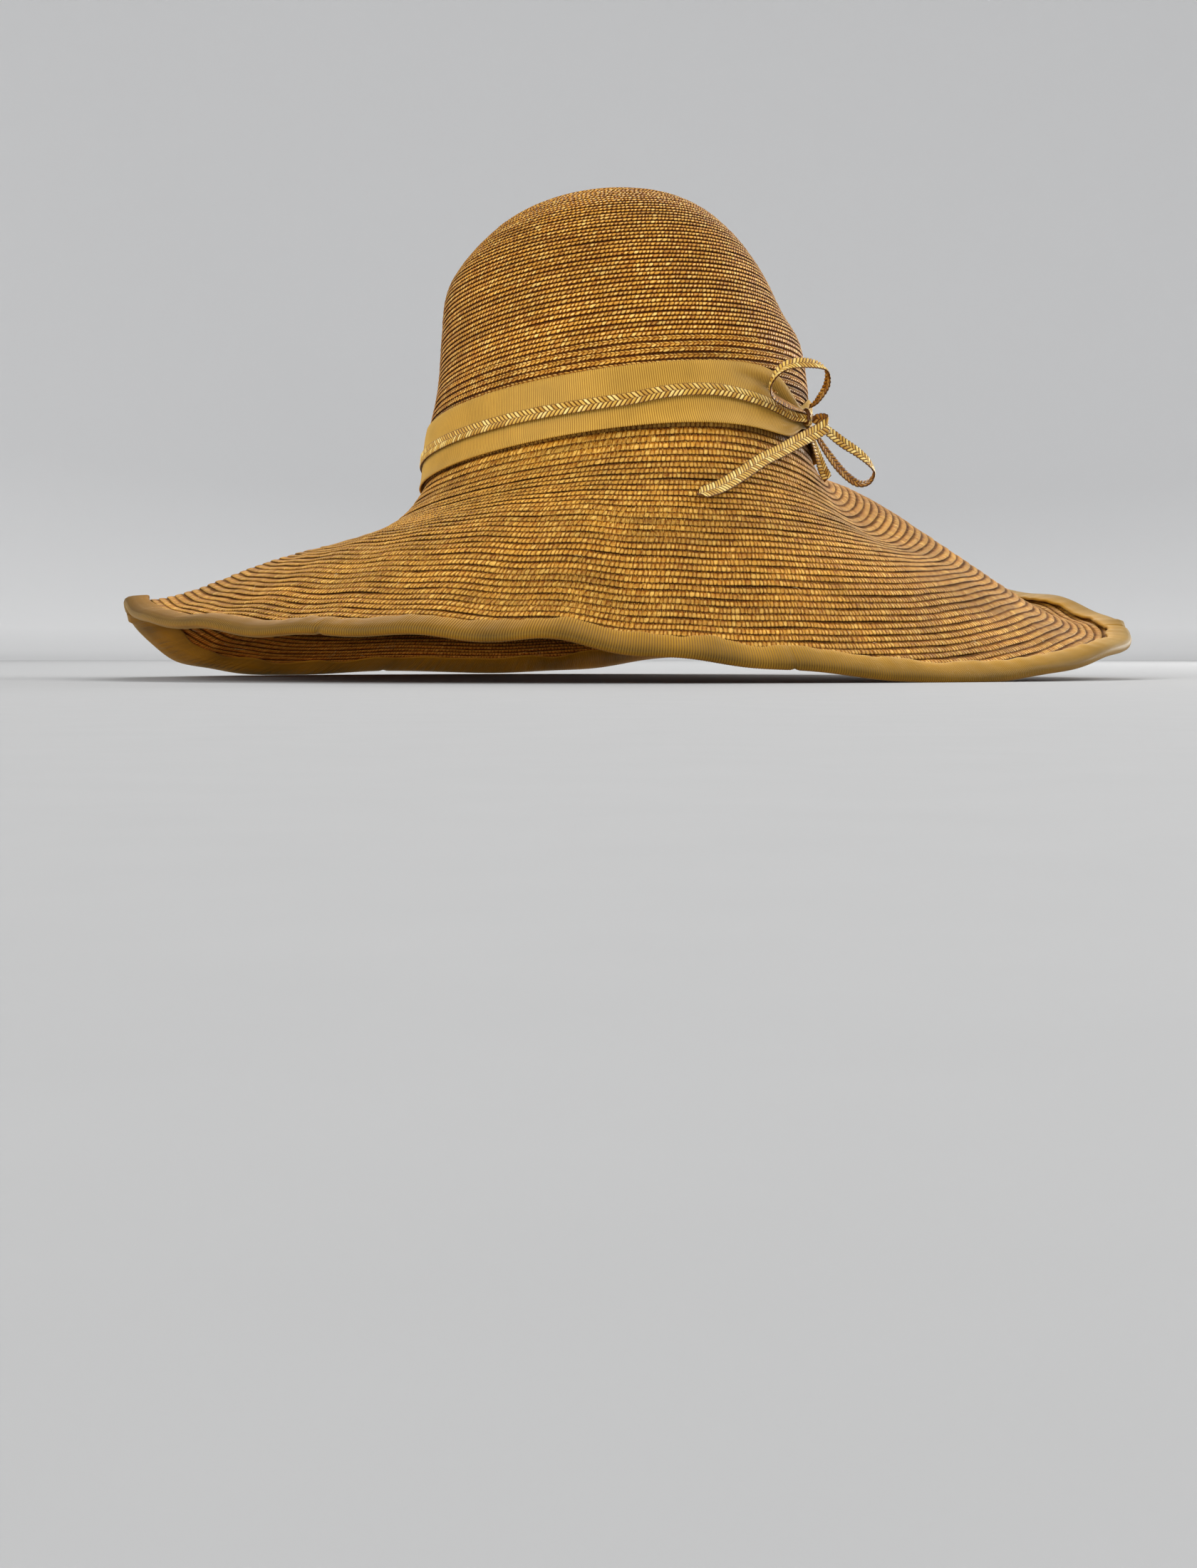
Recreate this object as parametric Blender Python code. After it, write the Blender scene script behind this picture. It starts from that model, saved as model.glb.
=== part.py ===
"""Wide brim sewn straw hat, resting on its rim.

Lengths are millimetres up to the last step, which makes the meshes in metres.
The wearer faces -Y and the wearer's left is +X. Angles are degrees round the
crown, from the front towards the wearer's left. A height is measured up the
crown from the plane of the head opening, along the crown's own leaning axis.
"""

import bmesh
import bpy
import numpy as np

METRES = 0.001


def table(columns, *rows):
    """Short table whose columns are read by name."""
    return np.array(list(rows), dtype=[(name, float) for name in columns.split()])


# Crown
CROWN_HALF_WIDTH = 86.5
CROWN_HALF_LENGTH = 95.9
CROWN_HEIGHT = 131.0
CROWN_SHOULDER = 3.0
CROWN_DOME = 2.35
CROWN_FLARE = 0.072
CROWN_LEAN = 7.7
CROWN_ROLL = -3.0
HEAD_CENTRE = (4.0, -0.4, 100.2)
STRAW = 1.8
GAP = 0.3

# Hollow that the tight bands pull into the crown at the wearer's left front
TUCK_ANGLE = 50.0
TUCK_SPREAD = 38.0
TUCK = table(
    "height change",
    (-12.0, -4.3),
    (4.0, -3.8),
    (20.0, 0.0),
    (34.0, 2.2),
    (48.0, 3.6),
    (64.0, 0.7),
    (80.0, 0.5),
    (105.0, 0.0),
)

# Shallow waist and the swell above it at the wearer's right
WAIST_ANGLE = 255.0
WAIST_SPREAD = 50.0
WAIST = table(
    "height change",
    (0.0, 1.5),
    (25.0, -0.4),
    (50.0, -3.6),
    (75.0, -1.1),
    (95.0, 2.9),
    (120.0, -0.3),
    (131.0, 0.0),
)

# Head line, where the crown turns into the brim, and its dip at the same side
DIP_ANGLE = 50.0
DIP_SPREAD = 36.0
DIP_DEPTH = 9.5

# Brim: the line of its rim, then how the surface runs from head line to rim.
# Slope is how steeply it starts to fall, as a share of the straight run, and
# the droops are how far it hangs below that run at one and two thirds out.
RIM_RISE = 2.6
RIM = table(
    "angle radius height",
    (0, 205.0, 3.0),
    (9, 210.0, 0.0),
    (24, 221.0, 0.0),
    (40, 236.0, 8.5),
    (55, 246.0, 16.5),
    (70, 250.0, 26.6),
    (85, 246.0, 39.8),
    (100, 243.0, 46.0),
    (115, 234.0, 41.0),
    (130, 231.5, 26.7),
    (141, 232.5, 11.2),
    (155, 235.5, 4.5),
    (170, 240.0, 0.0),
    (187, 243.0, 1.8),
    (204, 243.5, 0.0),
    (220, 242.5, 4.5),
    (232, 243.0, 17.5),
    (243, 237.0, 28.5),
    (256, 232.5, 34.5),
    (270, 231.0, 26.7),
    (290, 223.0, 21.0),
    (310, 214.0, 18.7),
    (321, 208.5, 18.5),
    (335, 203.0, 12.0),
    (348, 202.0, 7.5),
)
BRIM_RUN = table(
    "angle slope inner_droop outer_droop",
    (0, 2.20, -3.0, 3.0),
    (45, 2.80, -3.2, 8.6),
    (90, 0.80, -5.3, 13.0),
    (135, 2.20, 15.2, 6.8),
    (180, 2.20, 2.0, 2.5),
    (225, 2.20, -2.5, 4.0),
    (270, 2.20, -4.0, 7.0),
    (315, 2.20, -7.0, 3.0),
)
TURN_TIGHTNESS = 4.35
BRIM_SHARES = (0.78, 0.55, 0.34, 0.17, 0.06, 0.0)

# Collar of the brim that stands under the lower ribbon
COLLAR = 8.0
COLLAR_AT_KNOT = 5.0
COLLAR_SPREAD = 14.0

# Ribbon bands and the braid trim between them
BAND = table(
    "angle top middle",
    (0, 29.5, 15.2),
    (12, 29.0, 12.3),
    (24, 27.0, 8.5),
    (34, 24.0, 5.2),
    (45, 21.5, 4.0),
    (60, 21.0, 4.5),
    (80, 24.0, 8.0),
    (105, 28.0, 12.0),
    (130, 29.0, 14.0),
    (180, 29.0, 14.0),
    (250, 29.0, 14.0),
    (300, 29.0, 13.5),
    (334, 29.3, 13.2),
    (348, 29.5, 15.4),
)
BAND_FOOT = 0.8
RIBBON_LIFT = 0.5
RIBBON = 1.0
FOOT_FLARE = 0.5
TRIM_HEIGHT = 5.4
TRIM_LIFT = RIBBON_LIFT + RIBBON + GAP
TRIM = 1.2
TRIM_PINCH = 0.3

# Knot and the pinch it puts in the bands
KNOT_ANGLE = 38.0
KNOT_HEIGHT = 8.0
PINCH = 0.62
PINCH_SPREAD = 9.0
KNOT_OUT = 5.0
KNOT_HALF = (2.8, 3.4, 1.75)
KNOT_CORNER = 3.0

# Bow: routes from the knot, each row a place on the strand's centre line.
# Forward is round the crown to the front, up is up the crown, out is away
# from it. Twist turns the flat strand about its own line, and width is a
# share of the braid's width.
BRAID = 5.2
BRAID_THICK = 0.9
TAIL_BRAID = 6.2
LOOP_EDGE = (0.92, 0.0, 0.39)
TAIL_EDGE = (0.0, 1.0, 0.0)
LOOP_UPPER = table(
    "forward up out twist width",
    (1.0, 4.4, 6.2, -35, 0.45),
    (3.5, 6.9, 11.0, -35, 0.80),
    (6.0, 13.0, 16.2, -30, 1.00),
    (10.0, 18.4, 17.6, 0, 1.00),
    (15.0, 20.8, 15.4, 45, 1.00),
    (24.0, 20.7, 10.0, 70, 1.00),
    (31.0, 18.6, 5.0, 60, 1.00),
    (35.5, 14.2, 1.6, 30, 1.00),
    (37.5, 8.5, -0.6, 0, 1.00),
    (35.0, 4.5, -0.2, -30, 1.00),
    (28.0, 2.6, 2.1, -45, 1.00),
    (19.0, 1.6, 4.2, -45, 0.90),
    (5.0, 1.4, 5.6, -40, 0.45),
)
LOOP_LOWER = table(
    "forward up out twist width",
    (-3.8, -0.6, 7.0, -60, 0.45),
    (-7.0, -6.2, 13.0, -70, 0.90),
    (-11.0, -11.4, 18.9, -70, 1.00),
    (-15.0, -15.5, 24.4, -60, 1.00),
    (-18.5, -19.8, 28.6, -40, 1.00),
    (-21.0, -24.6, 30.7, -5, 1.00),
    (-21.0, -28.8, 28.2, 25, 1.00),
    (-18.5, -29.6, 23.8, 45, 1.00),
    (-15.5, -26.5, 19.4, 50, 1.00),
    (-11.0, -20.8, 15.0, 50, 1.00),
    (-7.0, -13.0, 10.4, 45, 0.85),
    (-3.2, -5.4, 6.8, 35, 0.45),
)
TAIL_FRONT = table(
    "forward up out twist width",
    (0.8, -1.2, 7.6, 0, 0.50),
    (1.5, -1.6, 10.4, 0, 0.80),
    (3.0, -2.4, 13.6, 0, 0.95),
    (5.8, -4.6, 16.4, -4, 1.00),
    (9.4, -7.4, 14.8, -8, 1.00),
    (15.0, -10.4, 11.9, -16, 1.00),
    (26.0, -15.4, 7.6, -26, 1.00),
    (37.0, -20.4, 3.9, -32, 1.00),
    (51.0, -26.2, -0.6, -36, 1.00),
    (68.0, -34.5, -5.0, -36, 1.00),
    (83.0, -41.3, -9.4, -36, 1.00),
    (97.0, -46.0, -14.6, -36, 0.90),
)
TAIL_BACK = table(
    "forward up out twist width",
    (-3.6, -3.8, 4.8, 0, 0.45),
    (-8.0, -8.4, 4.6, -4, 0.75),
    (-13.0, -12.6, 4.8, -10, 0.95),
    (-18.0, -17.2, 5.0, -20, 1.00),
    (-23.0, -21.8, 5.4, -30, 1.00),
    (-28.0, -25.2, 6.2, -35, 1.00),
)
POINT_LENGTH = 4.5
POINT_WIDTH = 0.2

# Binding round the rim: where its folded section runs from the straw's edge.
# Along is outwards and across is up from the straw's upper surface.
EDGE_INSET = 2.0
BINDING_DEPTH = 18.0
RIM_STEP = 0.2
BINDING = table(
    "along across",
    (-10.0, 1.3),
    (-0.4, 1.3),
    (1.5, 0.2),
    (1.7, -1.6),
    (0.9, -2.9),
    (-0.9, -3.3),
    (-18.0, -3.4),
    (-18.0, -2.6),
    (0.4, -2.3),
    (0.4, 0.4),
    (-10.0, 0.4),
)
FLOOR_PRESS = 0.7

# Steps that the surfaces are made in
BRIM_TURNS = 96
CROWN_TURNS = 72
CROWN_RINGS = 9
PROFILE_STEPS = 400
NORMAL_STEP = 0.5
KNOT_SIDES = 12
KNOT_RINGS = 7
STRAP_STEPS = 3

COLOURS = {
    "straw_braid": ((0.42, 0.22, 0.055, 1.0), 0.62),
    "grosgrain_band": ((0.60, 0.39, 0.085, 1.0), 0.55),
    "grosgrain_rim": ((0.45, 0.27, 0.070, 1.0), 0.60),
    "plaited_trim": ((0.66, 0.44, 0.120, 1.0), 0.50),
}


def unit(vectors):
    return vectors / np.linalg.norm(vectors, axis=-1, keepdims=True)


def hermite(t, start, end, start_slope, end_slope):
    return (
        (2 * t**3 - 3 * t**2 + 1) * start
        + (t**3 - 2 * t**2 + t) * start_slope
        + (3 * t**2 - 2 * t**3) * end
        + (t**3 - t**2) * end_slope
    )


def between(places, values, slopes, at):
    """Smooth curve through the values of a table."""
    row = np.clip(np.searchsorted(places, at, side="right") - 1, 0, len(places) - 2)
    span = places[row + 1] - places[row]
    t = np.clip((at - places[row]) / span, 0, 1)
    return hermite(t, values[row], values[row + 1], slopes[row] * span, slopes[row + 1] * span)


def around(rows, column, angle):
    """Column value at any angle, smooth all the way round."""
    places = np.concatenate([rows["angle"] - 360, rows["angle"], rows["angle"] + 360])
    values = np.tile(rows[column], 3)
    slopes = (np.roll(values, -1) - np.roll(values, 1)) / (np.roll(places, -1) - np.roll(places, 1))
    return between(places, values, slopes, np.mod(angle, 360))


def along(rows, column, place):
    """Column value at any place counted in rows of an open table."""
    values = rows[column]
    return between(np.arange(len(rows)), values, np.gradient(values), place)


def up_crown(rows, height):
    """Change of the crown's half width at any height, level past the table's ends."""
    slopes = np.gradient(rows["change"], rows["height"])
    return between(rows["height"], rows["change"], slopes, height)


def bell(angle, middle, spread):
    """One at the middle angle, fading to nothing on both sides."""
    away = np.mod(angle - middle + 180, 360) - 180
    return np.exp(-((away / spread) ** 2))


def at_rest(points):
    """Crown coordinates turned by the hat's roll and lean, then set in place."""
    roll = np.radians(CROWN_ROLL)
    lean = np.radians(CROWN_LEAN)
    x, y, z = points[..., 0], points[..., 1], points[..., 2]
    side = np.cos(roll) * x + np.sin(roll) * z
    rise = np.cos(roll) * z - np.sin(roll) * x
    back = np.cos(lean) * y + np.sin(lean) * rise
    top = np.cos(lean) * rise - np.sin(lean) * y
    return np.stack([side, back, top], axis=-1) + np.array(HEAD_CENTRE)


def crown_point(height, angle):
    """Outer surface of the crown."""
    height, angle = np.broadcast_arrays(np.asarray(height, float), np.asarray(angle, float))
    share = np.clip(height / CROWN_HEIGHT, 0, 1)
    narrowing = (1 - share**CROWN_DOME) ** (1 / CROWN_SHOULDER)
    flare = 1 + CROWN_FLARE * (1 - np.minimum(height / CROWN_HEIGHT, 1)) ** 2
    change = up_crown(TUCK, height) * bell(angle, TUCK_ANGLE, TUCK_SPREAD)
    change += up_crown(WAIST, height) * bell(angle, WAIST_ANGLE, WAIST_SPREAD)
    half_width = CROWN_HALF_WIDTH * narrowing * flare + change
    half_length = CROWN_HALF_LENGTH * narrowing * flare + change
    turn = np.radians(angle)
    return at_rest(np.stack([half_width * np.sin(turn), -half_length * np.cos(turn), height], axis=-1))


def head_height(angle):
    return -DIP_DEPTH * bell(angle, DIP_ANGLE, DIP_SPREAD)


def rim_point(angle):
    radius = around(RIM, "radius", angle)
    height = around(RIM, "height", angle) + RIM_RISE
    turn = np.radians(angle)
    return np.stack([radius * np.sin(turn), -radius * np.cos(turn), height], axis=-1)


def brim_point(share, angle):
    """Upper surface of the brim, from the head line (share 0) to the rim (share 1)."""
    share, angle = np.broadcast_arrays(np.asarray(share, float), np.asarray(angle, float))
    head = crown_point(head_height(angle), angle)
    reach = rim_point(angle) - head
    run = np.hypot(reach[..., 0], reach[..., 1])
    fall = -reach[..., 2]
    extra = around(BRIM_RUN, "slope", angle) * run / fall - 1
    left = np.clip(1 - share, 0, 1)
    fallen = share * (1 + extra * left**TURN_TIGHTNESS)
    inner = around(BRIM_RUN, "inner_droop", angle) * (2 - 3 * share)
    outer = around(BRIM_RUN, "outer_droop", angle) * (3 * share - 1)
    droop = (inner + outer) * share * (1 - share) * 9 / 2
    points = head + reach * share[..., None]
    points[..., 2] = head[..., 2] - fall * fallen - droop
    return points


def lifted(surface, place, angle, lift, step=NORMAL_STEP):
    """Point of a surface, pushed off it along its own normal."""
    climb = surface(place + step, angle) - surface(place - step, angle)
    onward = surface(place, angle + step) - surface(place, angle - step)
    normal = unit(np.cross(onward, climb))
    return surface(place, angle) + normal * np.asarray(lift)[..., None]


def on_crown(height, angle, lift):
    return lifted(crown_point, height, angle, lift)


def turns(count):
    return np.arange(count) * 360 / count


def inner_skin(grid):
    """Inside of the straw wall, for an outer skin whose rings climb the hat."""
    climb = np.gradient(grid, axis=0)
    onward = np.roll(grid, -1, axis=1) - np.roll(grid, 1, axis=1)
    return grid + STRAW * unit(np.cross(climb, onward))


def loop_faces(rings, count):
    """Quads between closed rings of points, each ring joined to the next and the last to the first."""
    faces = []
    for ring in range(rings):
        above = (ring + 1) % rings
        for i in range(count):
            j = (i + 1) % count
            faces.append((ring * count + i, ring * count + j, above * count + j, above * count + i))
    return faces


def ring_body(sections):
    """Closed skin swept all the way round from sections shaped (point of section, turn, xyz)."""
    rings, count = sections.shape[:2]
    return sections.reshape(-1, 3), loop_faces(rings, count)


def collar_height(angle):
    return head_height(angle) + COLLAR + COLLAR_AT_KNOT * bell(angle, KNOT_ANGLE, COLLAR_SPREAD)


def even_heights(lowest, rings):
    """Crown heights whose rings lie evenly along the profile, short of the pole."""
    sweep = np.linspace(0, np.pi / 2, PROFILE_STEPS)
    heights = CROWN_HEIGHT * np.sin(sweep) ** (2 / CROWN_DOME)
    radii = CROWN_HALF_LENGTH * np.cos(sweep) ** (2 / CROWN_SHOULDER)
    run = np.concatenate([[0], np.cumsum(np.hypot(np.diff(heights), np.diff(radii)))])
    start = np.interp(lowest, heights, run)
    stops = np.linspace(start, run[-1], rings + 1)[:-1]
    return np.interp(stops, run, heights)


def crown_body():
    angle = turns(CROWN_TURNS)
    foot = collar_height(angle) + GAP
    heights = even_heights(COLLAR + GAP, CROWN_RINGS)
    fade = np.clip(1 - (heights - heights[0]) / (CROWN_HEIGHT / 2), 0, 1)
    outer = np.stack([crown_point(h + f * (foot - heights[0]), angle) for h, f in zip(heights, fade)])
    inner = inner_skin(outer)
    pole = at_rest(np.array([0.0, 0.0, CROWN_HEIGHT]))
    under_pole = at_rest(np.array([0.0, 0.0, CROWN_HEIGHT - STRAW]))
    points = np.concatenate([outer.reshape(-1, 3), inner.reshape(-1, 3), [pole, under_pole]])
    count = CROWN_TURNS
    inside = CROWN_RINGS * count
    faces = [f for f in loop_faces(CROWN_RINGS, count) if f[2] > f[0]]
    faces += [tuple(k + inside for k in f) for f in faces]
    for i in range(count):
        j = (i + 1) % count
        last = (CROWN_RINGS - 1) * count
        faces.append((i, j, inside + j, inside + i))
        faces.append((last + i, last + j, 2 * inside))
        faces.append((inside + last + i, inside + last + j, 2 * inside + 1))
    return points, faces


def straw_line(back, angle):
    """Line on the brim a given way in from the rim, and the brim's share there."""
    reach = np.linalg.norm(rim_point(angle) - brim_point(1 - RIM_STEP, angle), axis=-1) / RIM_STEP
    share = 1 - back / reach
    return brim_point(share, angle), share


def brim_body():
    angle = turns(BRIM_TURNS)
    top = collar_height(angle)
    edge, _ = straw_line(EDGE_INSET, angle)
    covered, covered_share = straw_line(EDGE_INSET + BINDING_DEPTH, angle)
    rows = [edge, covered]
    rows += [brim_point(share * covered_share, angle) for share in BRIM_SHARES]
    rows += [crown_point((top + head_height(angle)) / 2, angle), crown_point(top, angle)]
    upper = np.stack(rows)
    return ring_body(np.concatenate([upper, inner_skin(upper)[::-1]]))


def pinched(height, angle):
    """Band height drawn in towards the knot."""
    pull = PINCH * bell(angle, KNOT_ANGLE, PINCH_SPREAD)
    return height + (KNOT_HEIGHT - height) * pull


def band_body(heights, lift, thick, foot_flare=0.0):
    """Flat strip round the crown through heights given at every turn, lowest first."""
    angle = turns(CROWN_TURNS)
    flares = [foot_flare] + [0.0] * (len(heights) - 1)
    inner = [on_crown(h, angle, np.full_like(angle, lift + f)) for h, f in zip(heights, flares)]
    outer = [on_crown(h, angle, np.full_like(angle, lift + thick + f)) for h, f in zip(heights, flares)]
    return ring_body(np.stack(outer + inner[::-1]))


def ribbon_upper_body():
    angle = turns(CROWN_TURNS)
    bottom = pinched(around(BAND, "middle", angle), angle) + GAP / 2
    top = pinched(around(BAND, "top", angle), angle)
    return band_body([bottom, (bottom + top) / 2, top], RIBBON_LIFT, RIBBON)


def ribbon_lower_body():
    angle = turns(CROWN_TURNS)
    bottom = pinched(head_height(angle) + BAND_FOOT, angle)
    top = pinched(around(BAND, "middle", angle), angle) - GAP / 2
    return band_body([bottom, (bottom + top) / 2, top], RIBBON_LIFT, RIBBON, FOOT_FLARE)


def braid_trim_body():
    angle = turns(CROWN_TURNS)
    middle = pinched(around(BAND, "middle", angle), angle)
    half = TRIM_HEIGHT / 2 * (1 - TRIM_PINCH * bell(angle, KNOT_ANGLE, PINCH_SPREAD))
    return band_body([middle - half, middle + half], TRIM_LIFT, TRIM)


def binding_body():
    """Ribbon folded over the straw's edge, its section swept round the rim."""
    angle = turns(BRIM_TURNS)
    edge, _ = straw_line(EDGE_INSET, angle)
    covered, _ = straw_line(EDGE_INSET + BINDING_DEPTH, angle)
    outward = unit(edge - covered)
    onward = np.roll(edge, -1, axis=0) - np.roll(edge, 1, axis=0)
    upward = unit(np.cross(outward, onward))
    depth = (edge - covered) / BINDING_DEPTH
    sections = []
    for row in BINDING:
        back = min(row["along"], 0.0)
        beyond = max(row["along"], 0.0)
        sections.append(edge + back * depth + beyond * outward + row["across"] * upward)
    return ring_body(np.stack(sections))


def knot_frame():
    """Knot place and its directions: forward, up and out from the crown."""
    place = crown_point(KNOT_HEIGHT, KNOT_ANGLE)
    forward = unit(crown_point(KNOT_HEIGHT, KNOT_ANGLE - 1) - crown_point(KNOT_HEIGHT, KNOT_ANGLE + 1))
    rise = unit(crown_point(KNOT_HEIGHT + 1, KNOT_ANGLE) - crown_point(KNOT_HEIGHT - 1, KNOT_ANGLE))
    out = unit(np.cross(rise, forward))
    return place, np.stack([forward, np.cross(forward, out), out])


def knot_body():
    """Rounded wrap of braid over the pinched bands."""
    place, axes = knot_frame()
    count = KNOT_SIDES
    rounds = np.linspace(-np.pi / 2, np.pi / 2, KNOT_RINGS + 2)[1:-1]
    turn = np.radians(turns(count))
    rings = []
    for level in np.sin(rounds):
        width = (1 - abs(level) ** KNOT_CORNER) ** (1 / KNOT_CORNER)
        local = np.stack([width * np.cos(turn), np.full(count, level), width * np.sin(turn)], axis=-1)
        rings.append(local * np.array(KNOT_HALF) + np.array([0, 0, KNOT_OUT]))
    local = np.concatenate(rings)
    faces = [f for f in loop_faces(len(rings), count) if f[2] > f[0]]
    faces.append(tuple(range(count)))
    faces.append(tuple(range((len(rings) - 1) * count, len(rings) * count)))
    return place + local @ axes, faces


def turned(vectors, axes, degrees):
    """Vectors turned about axes they stand square to."""
    angle = np.radians(degrees)[:, None]
    return np.cos(angle) * vectors + np.sin(angle) * np.cross(axes, vectors)


def strap_body(route, edge, braid, pointed=False):
    """Flat braid that follows a route in the knot's directions."""
    place, axes = knot_frame()
    steps = np.linspace(0, len(route) - 1, (len(route) - 1) * STRAP_STEPS + 1)
    centre = np.stack([along(route, name, steps) for name in ("forward", "up", "out")], axis=-1)
    line = unit(np.gradient(centre, axis=0))
    edge = np.broadcast_to(np.array(edge), centre.shape)
    side = unit(edge - line * np.sum(edge * line, axis=-1, keepdims=True))
    side = turned(side, line, along(route, "twist", steps))
    face = np.cross(line, side)
    half = along(route, "width", steps) * braid / 2
    if pointed:
        run = np.concatenate([[0], np.cumsum(np.linalg.norm(np.diff(centre, axis=0), axis=-1))])
        half = half * np.clip((run[-1] - run) / POINT_LENGTH, POINT_WIDTH, 1)
    wide = side * half[:, None]
    deep = face * BRAID_THICK / 2
    corners = [-wide - deep, wide - deep, wide + deep, deep - wide]
    local = np.stack([centre + corner for corner in corners], axis=1)
    count = len(steps)
    faces = [f for f in loop_faces(count, 4) if f[2] > f[0]]
    faces.append((0, 1, 2, 3))
    faces.append(tuple(range((count - 1) * 4, count * 4)))
    return place + local.reshape(-1, 3) @ axes, faces


def hat_bodies():
    """Every piece as name, points, faces and material slot."""
    pieces = [
        ("crown", crown_body(), "straw_braid"),
        ("brim", brim_body(), "straw_braid"),
        ("rim_binding", binding_body(), "grosgrain_rim"),
        ("ribbon_upper", ribbon_upper_body(), "grosgrain_band"),
        ("ribbon_lower", ribbon_lower_body(), "grosgrain_band"),
        ("braid_trim", braid_trim_body(), "plaited_trim"),
        ("bow_knot", knot_body(), "plaited_trim"),
        ("bow_loop_upper", strap_body(LOOP_UPPER, LOOP_EDGE, BRAID), "plaited_trim"),
        ("bow_loop_lower", strap_body(LOOP_LOWER, LOOP_EDGE, BRAID), "plaited_trim"),
        ("bow_tail_front", strap_body(TAIL_FRONT, TAIL_EDGE, TAIL_BRAID, True), "plaited_trim"),
        ("bow_tail_back", strap_body(TAIL_BACK, TAIL_EDGE, BRAID), "plaited_trim"),
    ]
    return pieces


def set_on_floor(pieces):
    """Centre the hat on the floor, its weight pressing the rim's lowest places flat."""
    points = np.concatenate([body[0] for _, body, _ in pieces])
    low = points.min(axis=0)
    high = points.max(axis=0)
    origin = np.array([(low[0] + high[0]) / 2, (low[1] + high[1]) / 2, low[2] + FLOOR_PRESS])
    placed = []
    for name, (own, faces), slot in pieces:
        moved = own - origin
        moved[:, 2] = np.maximum(moved[:, 2], 0)
        placed.append((name, moved, faces, slot))
    return placed


def make_material(slot):
    colour, roughness = COLOURS[slot]
    material = bpy.data.materials.new(slot)
    material.use_nodes = True
    shader = material.node_tree.nodes["Principled BSDF"]
    shader.inputs["Base Color"].default_value = colour
    shader.inputs["Roughness"].default_value = roughness
    shader.inputs["Metallic"].default_value = 0.0
    material.diffuse_color = colour
    return material


def make_object(name, points, faces, material):
    mesh = bpy.data.meshes.new(name)
    mesh.from_pydata((points * METRES).tolist(), [], faces)
    body = bmesh.new()
    body.from_mesh(mesh)
    bmesh.ops.recalc_face_normals(body, faces=body.faces)
    for face in body.faces:
        face.smooth = True
    body.to_mesh(mesh)
    body.free()
    mesh.materials.append(material)
    made = bpy.data.objects.new(name, mesh)
    bpy.context.scene.collection.objects.link(made)


def build():
    for old in list(bpy.data.objects):
        bpy.data.objects.remove(old, do_unlink=True)
    materials = {slot: make_material(slot) for slot in COLOURS}
    for name, points, faces, slot in set_on_floor(hat_bodies()):
        make_object(name, points, faces, materials[slot])


build()
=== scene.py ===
"""Looks of a wide brim sewn straw hat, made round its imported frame.

Lengths are millimetres until a mesh is made. The wearer faces -Y and the
wearer's left is +X. Angles are degrees round the crown, from the front towards
the wearer's left, and crown heights run up the leaning crown from its opening.
The shapes follow the same named sizes and tables as the frame's solids.
"""

import bpy
import numpy as np
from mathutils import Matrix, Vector


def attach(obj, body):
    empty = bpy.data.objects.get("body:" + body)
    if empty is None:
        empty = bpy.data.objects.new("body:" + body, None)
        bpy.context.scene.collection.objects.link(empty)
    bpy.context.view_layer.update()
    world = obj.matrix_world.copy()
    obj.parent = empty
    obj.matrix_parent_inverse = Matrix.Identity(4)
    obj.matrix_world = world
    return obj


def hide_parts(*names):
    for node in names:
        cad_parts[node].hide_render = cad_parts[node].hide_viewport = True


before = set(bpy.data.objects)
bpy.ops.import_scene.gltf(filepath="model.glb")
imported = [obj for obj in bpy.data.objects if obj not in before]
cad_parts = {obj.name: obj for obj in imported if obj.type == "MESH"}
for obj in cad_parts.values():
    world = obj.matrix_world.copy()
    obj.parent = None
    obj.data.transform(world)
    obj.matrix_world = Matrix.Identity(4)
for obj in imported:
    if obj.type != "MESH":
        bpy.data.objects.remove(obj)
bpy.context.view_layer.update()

METRES = 0.001
BODY = "root"

# Middle of the hat's footprint on the surface it rests on: the frame's origin
ORIGIN = np.array([7.256, 17.272, 0.395])


def table(names, *rows):
    """Short table whose columns are read by name."""
    return np.array(list(rows), dtype=[(name, float) for name in names.split()])


# Crown
CROWN_HALF_WIDTH = 86.5
CROWN_HALF_LENGTH = 95.9
CROWN_RADIUS = (CROWN_HALF_WIDTH + CROWN_HALF_LENGTH) / 2
CROWN_HEIGHT = 131.0
CROWN_SHOULDER = 3.0
CROWN_DOME = 2.35
CROWN_FLARE = 0.072
CROWN_LEAN = 7.7
CROWN_ROLL = -3.0
POLE_GAP = 0.3
HEAD_CENTRE = (4.0, -0.4, 100.2)
TUCK_ANGLE = 50.0
TUCK_SPREAD = 38.0
TUCK = table(
    "height change",
    (-12.0, -4.3),
    (4.0, -3.8),
    (20.0, 0.0),
    (34.0, 2.2),
    (48.0, 3.6),
    (64.0, 0.7),
    (80.0, 0.5),
    (105.0, 0.0),
)
WAIST_ANGLE = 255.0
WAIST_SPREAD = 50.0
WAIST = table(
    "height change",
    (0.0, 1.5),
    (25.0, -0.4),
    (50.0, -3.6),
    (75.0, -1.1),
    (95.0, 2.9),
    (120.0, -0.3),
    (131.0, 0.0),
)
DIP_ANGLE = 50.0
DIP_SPREAD = 36.0
DIP_DEPTH = 9.5

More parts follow.
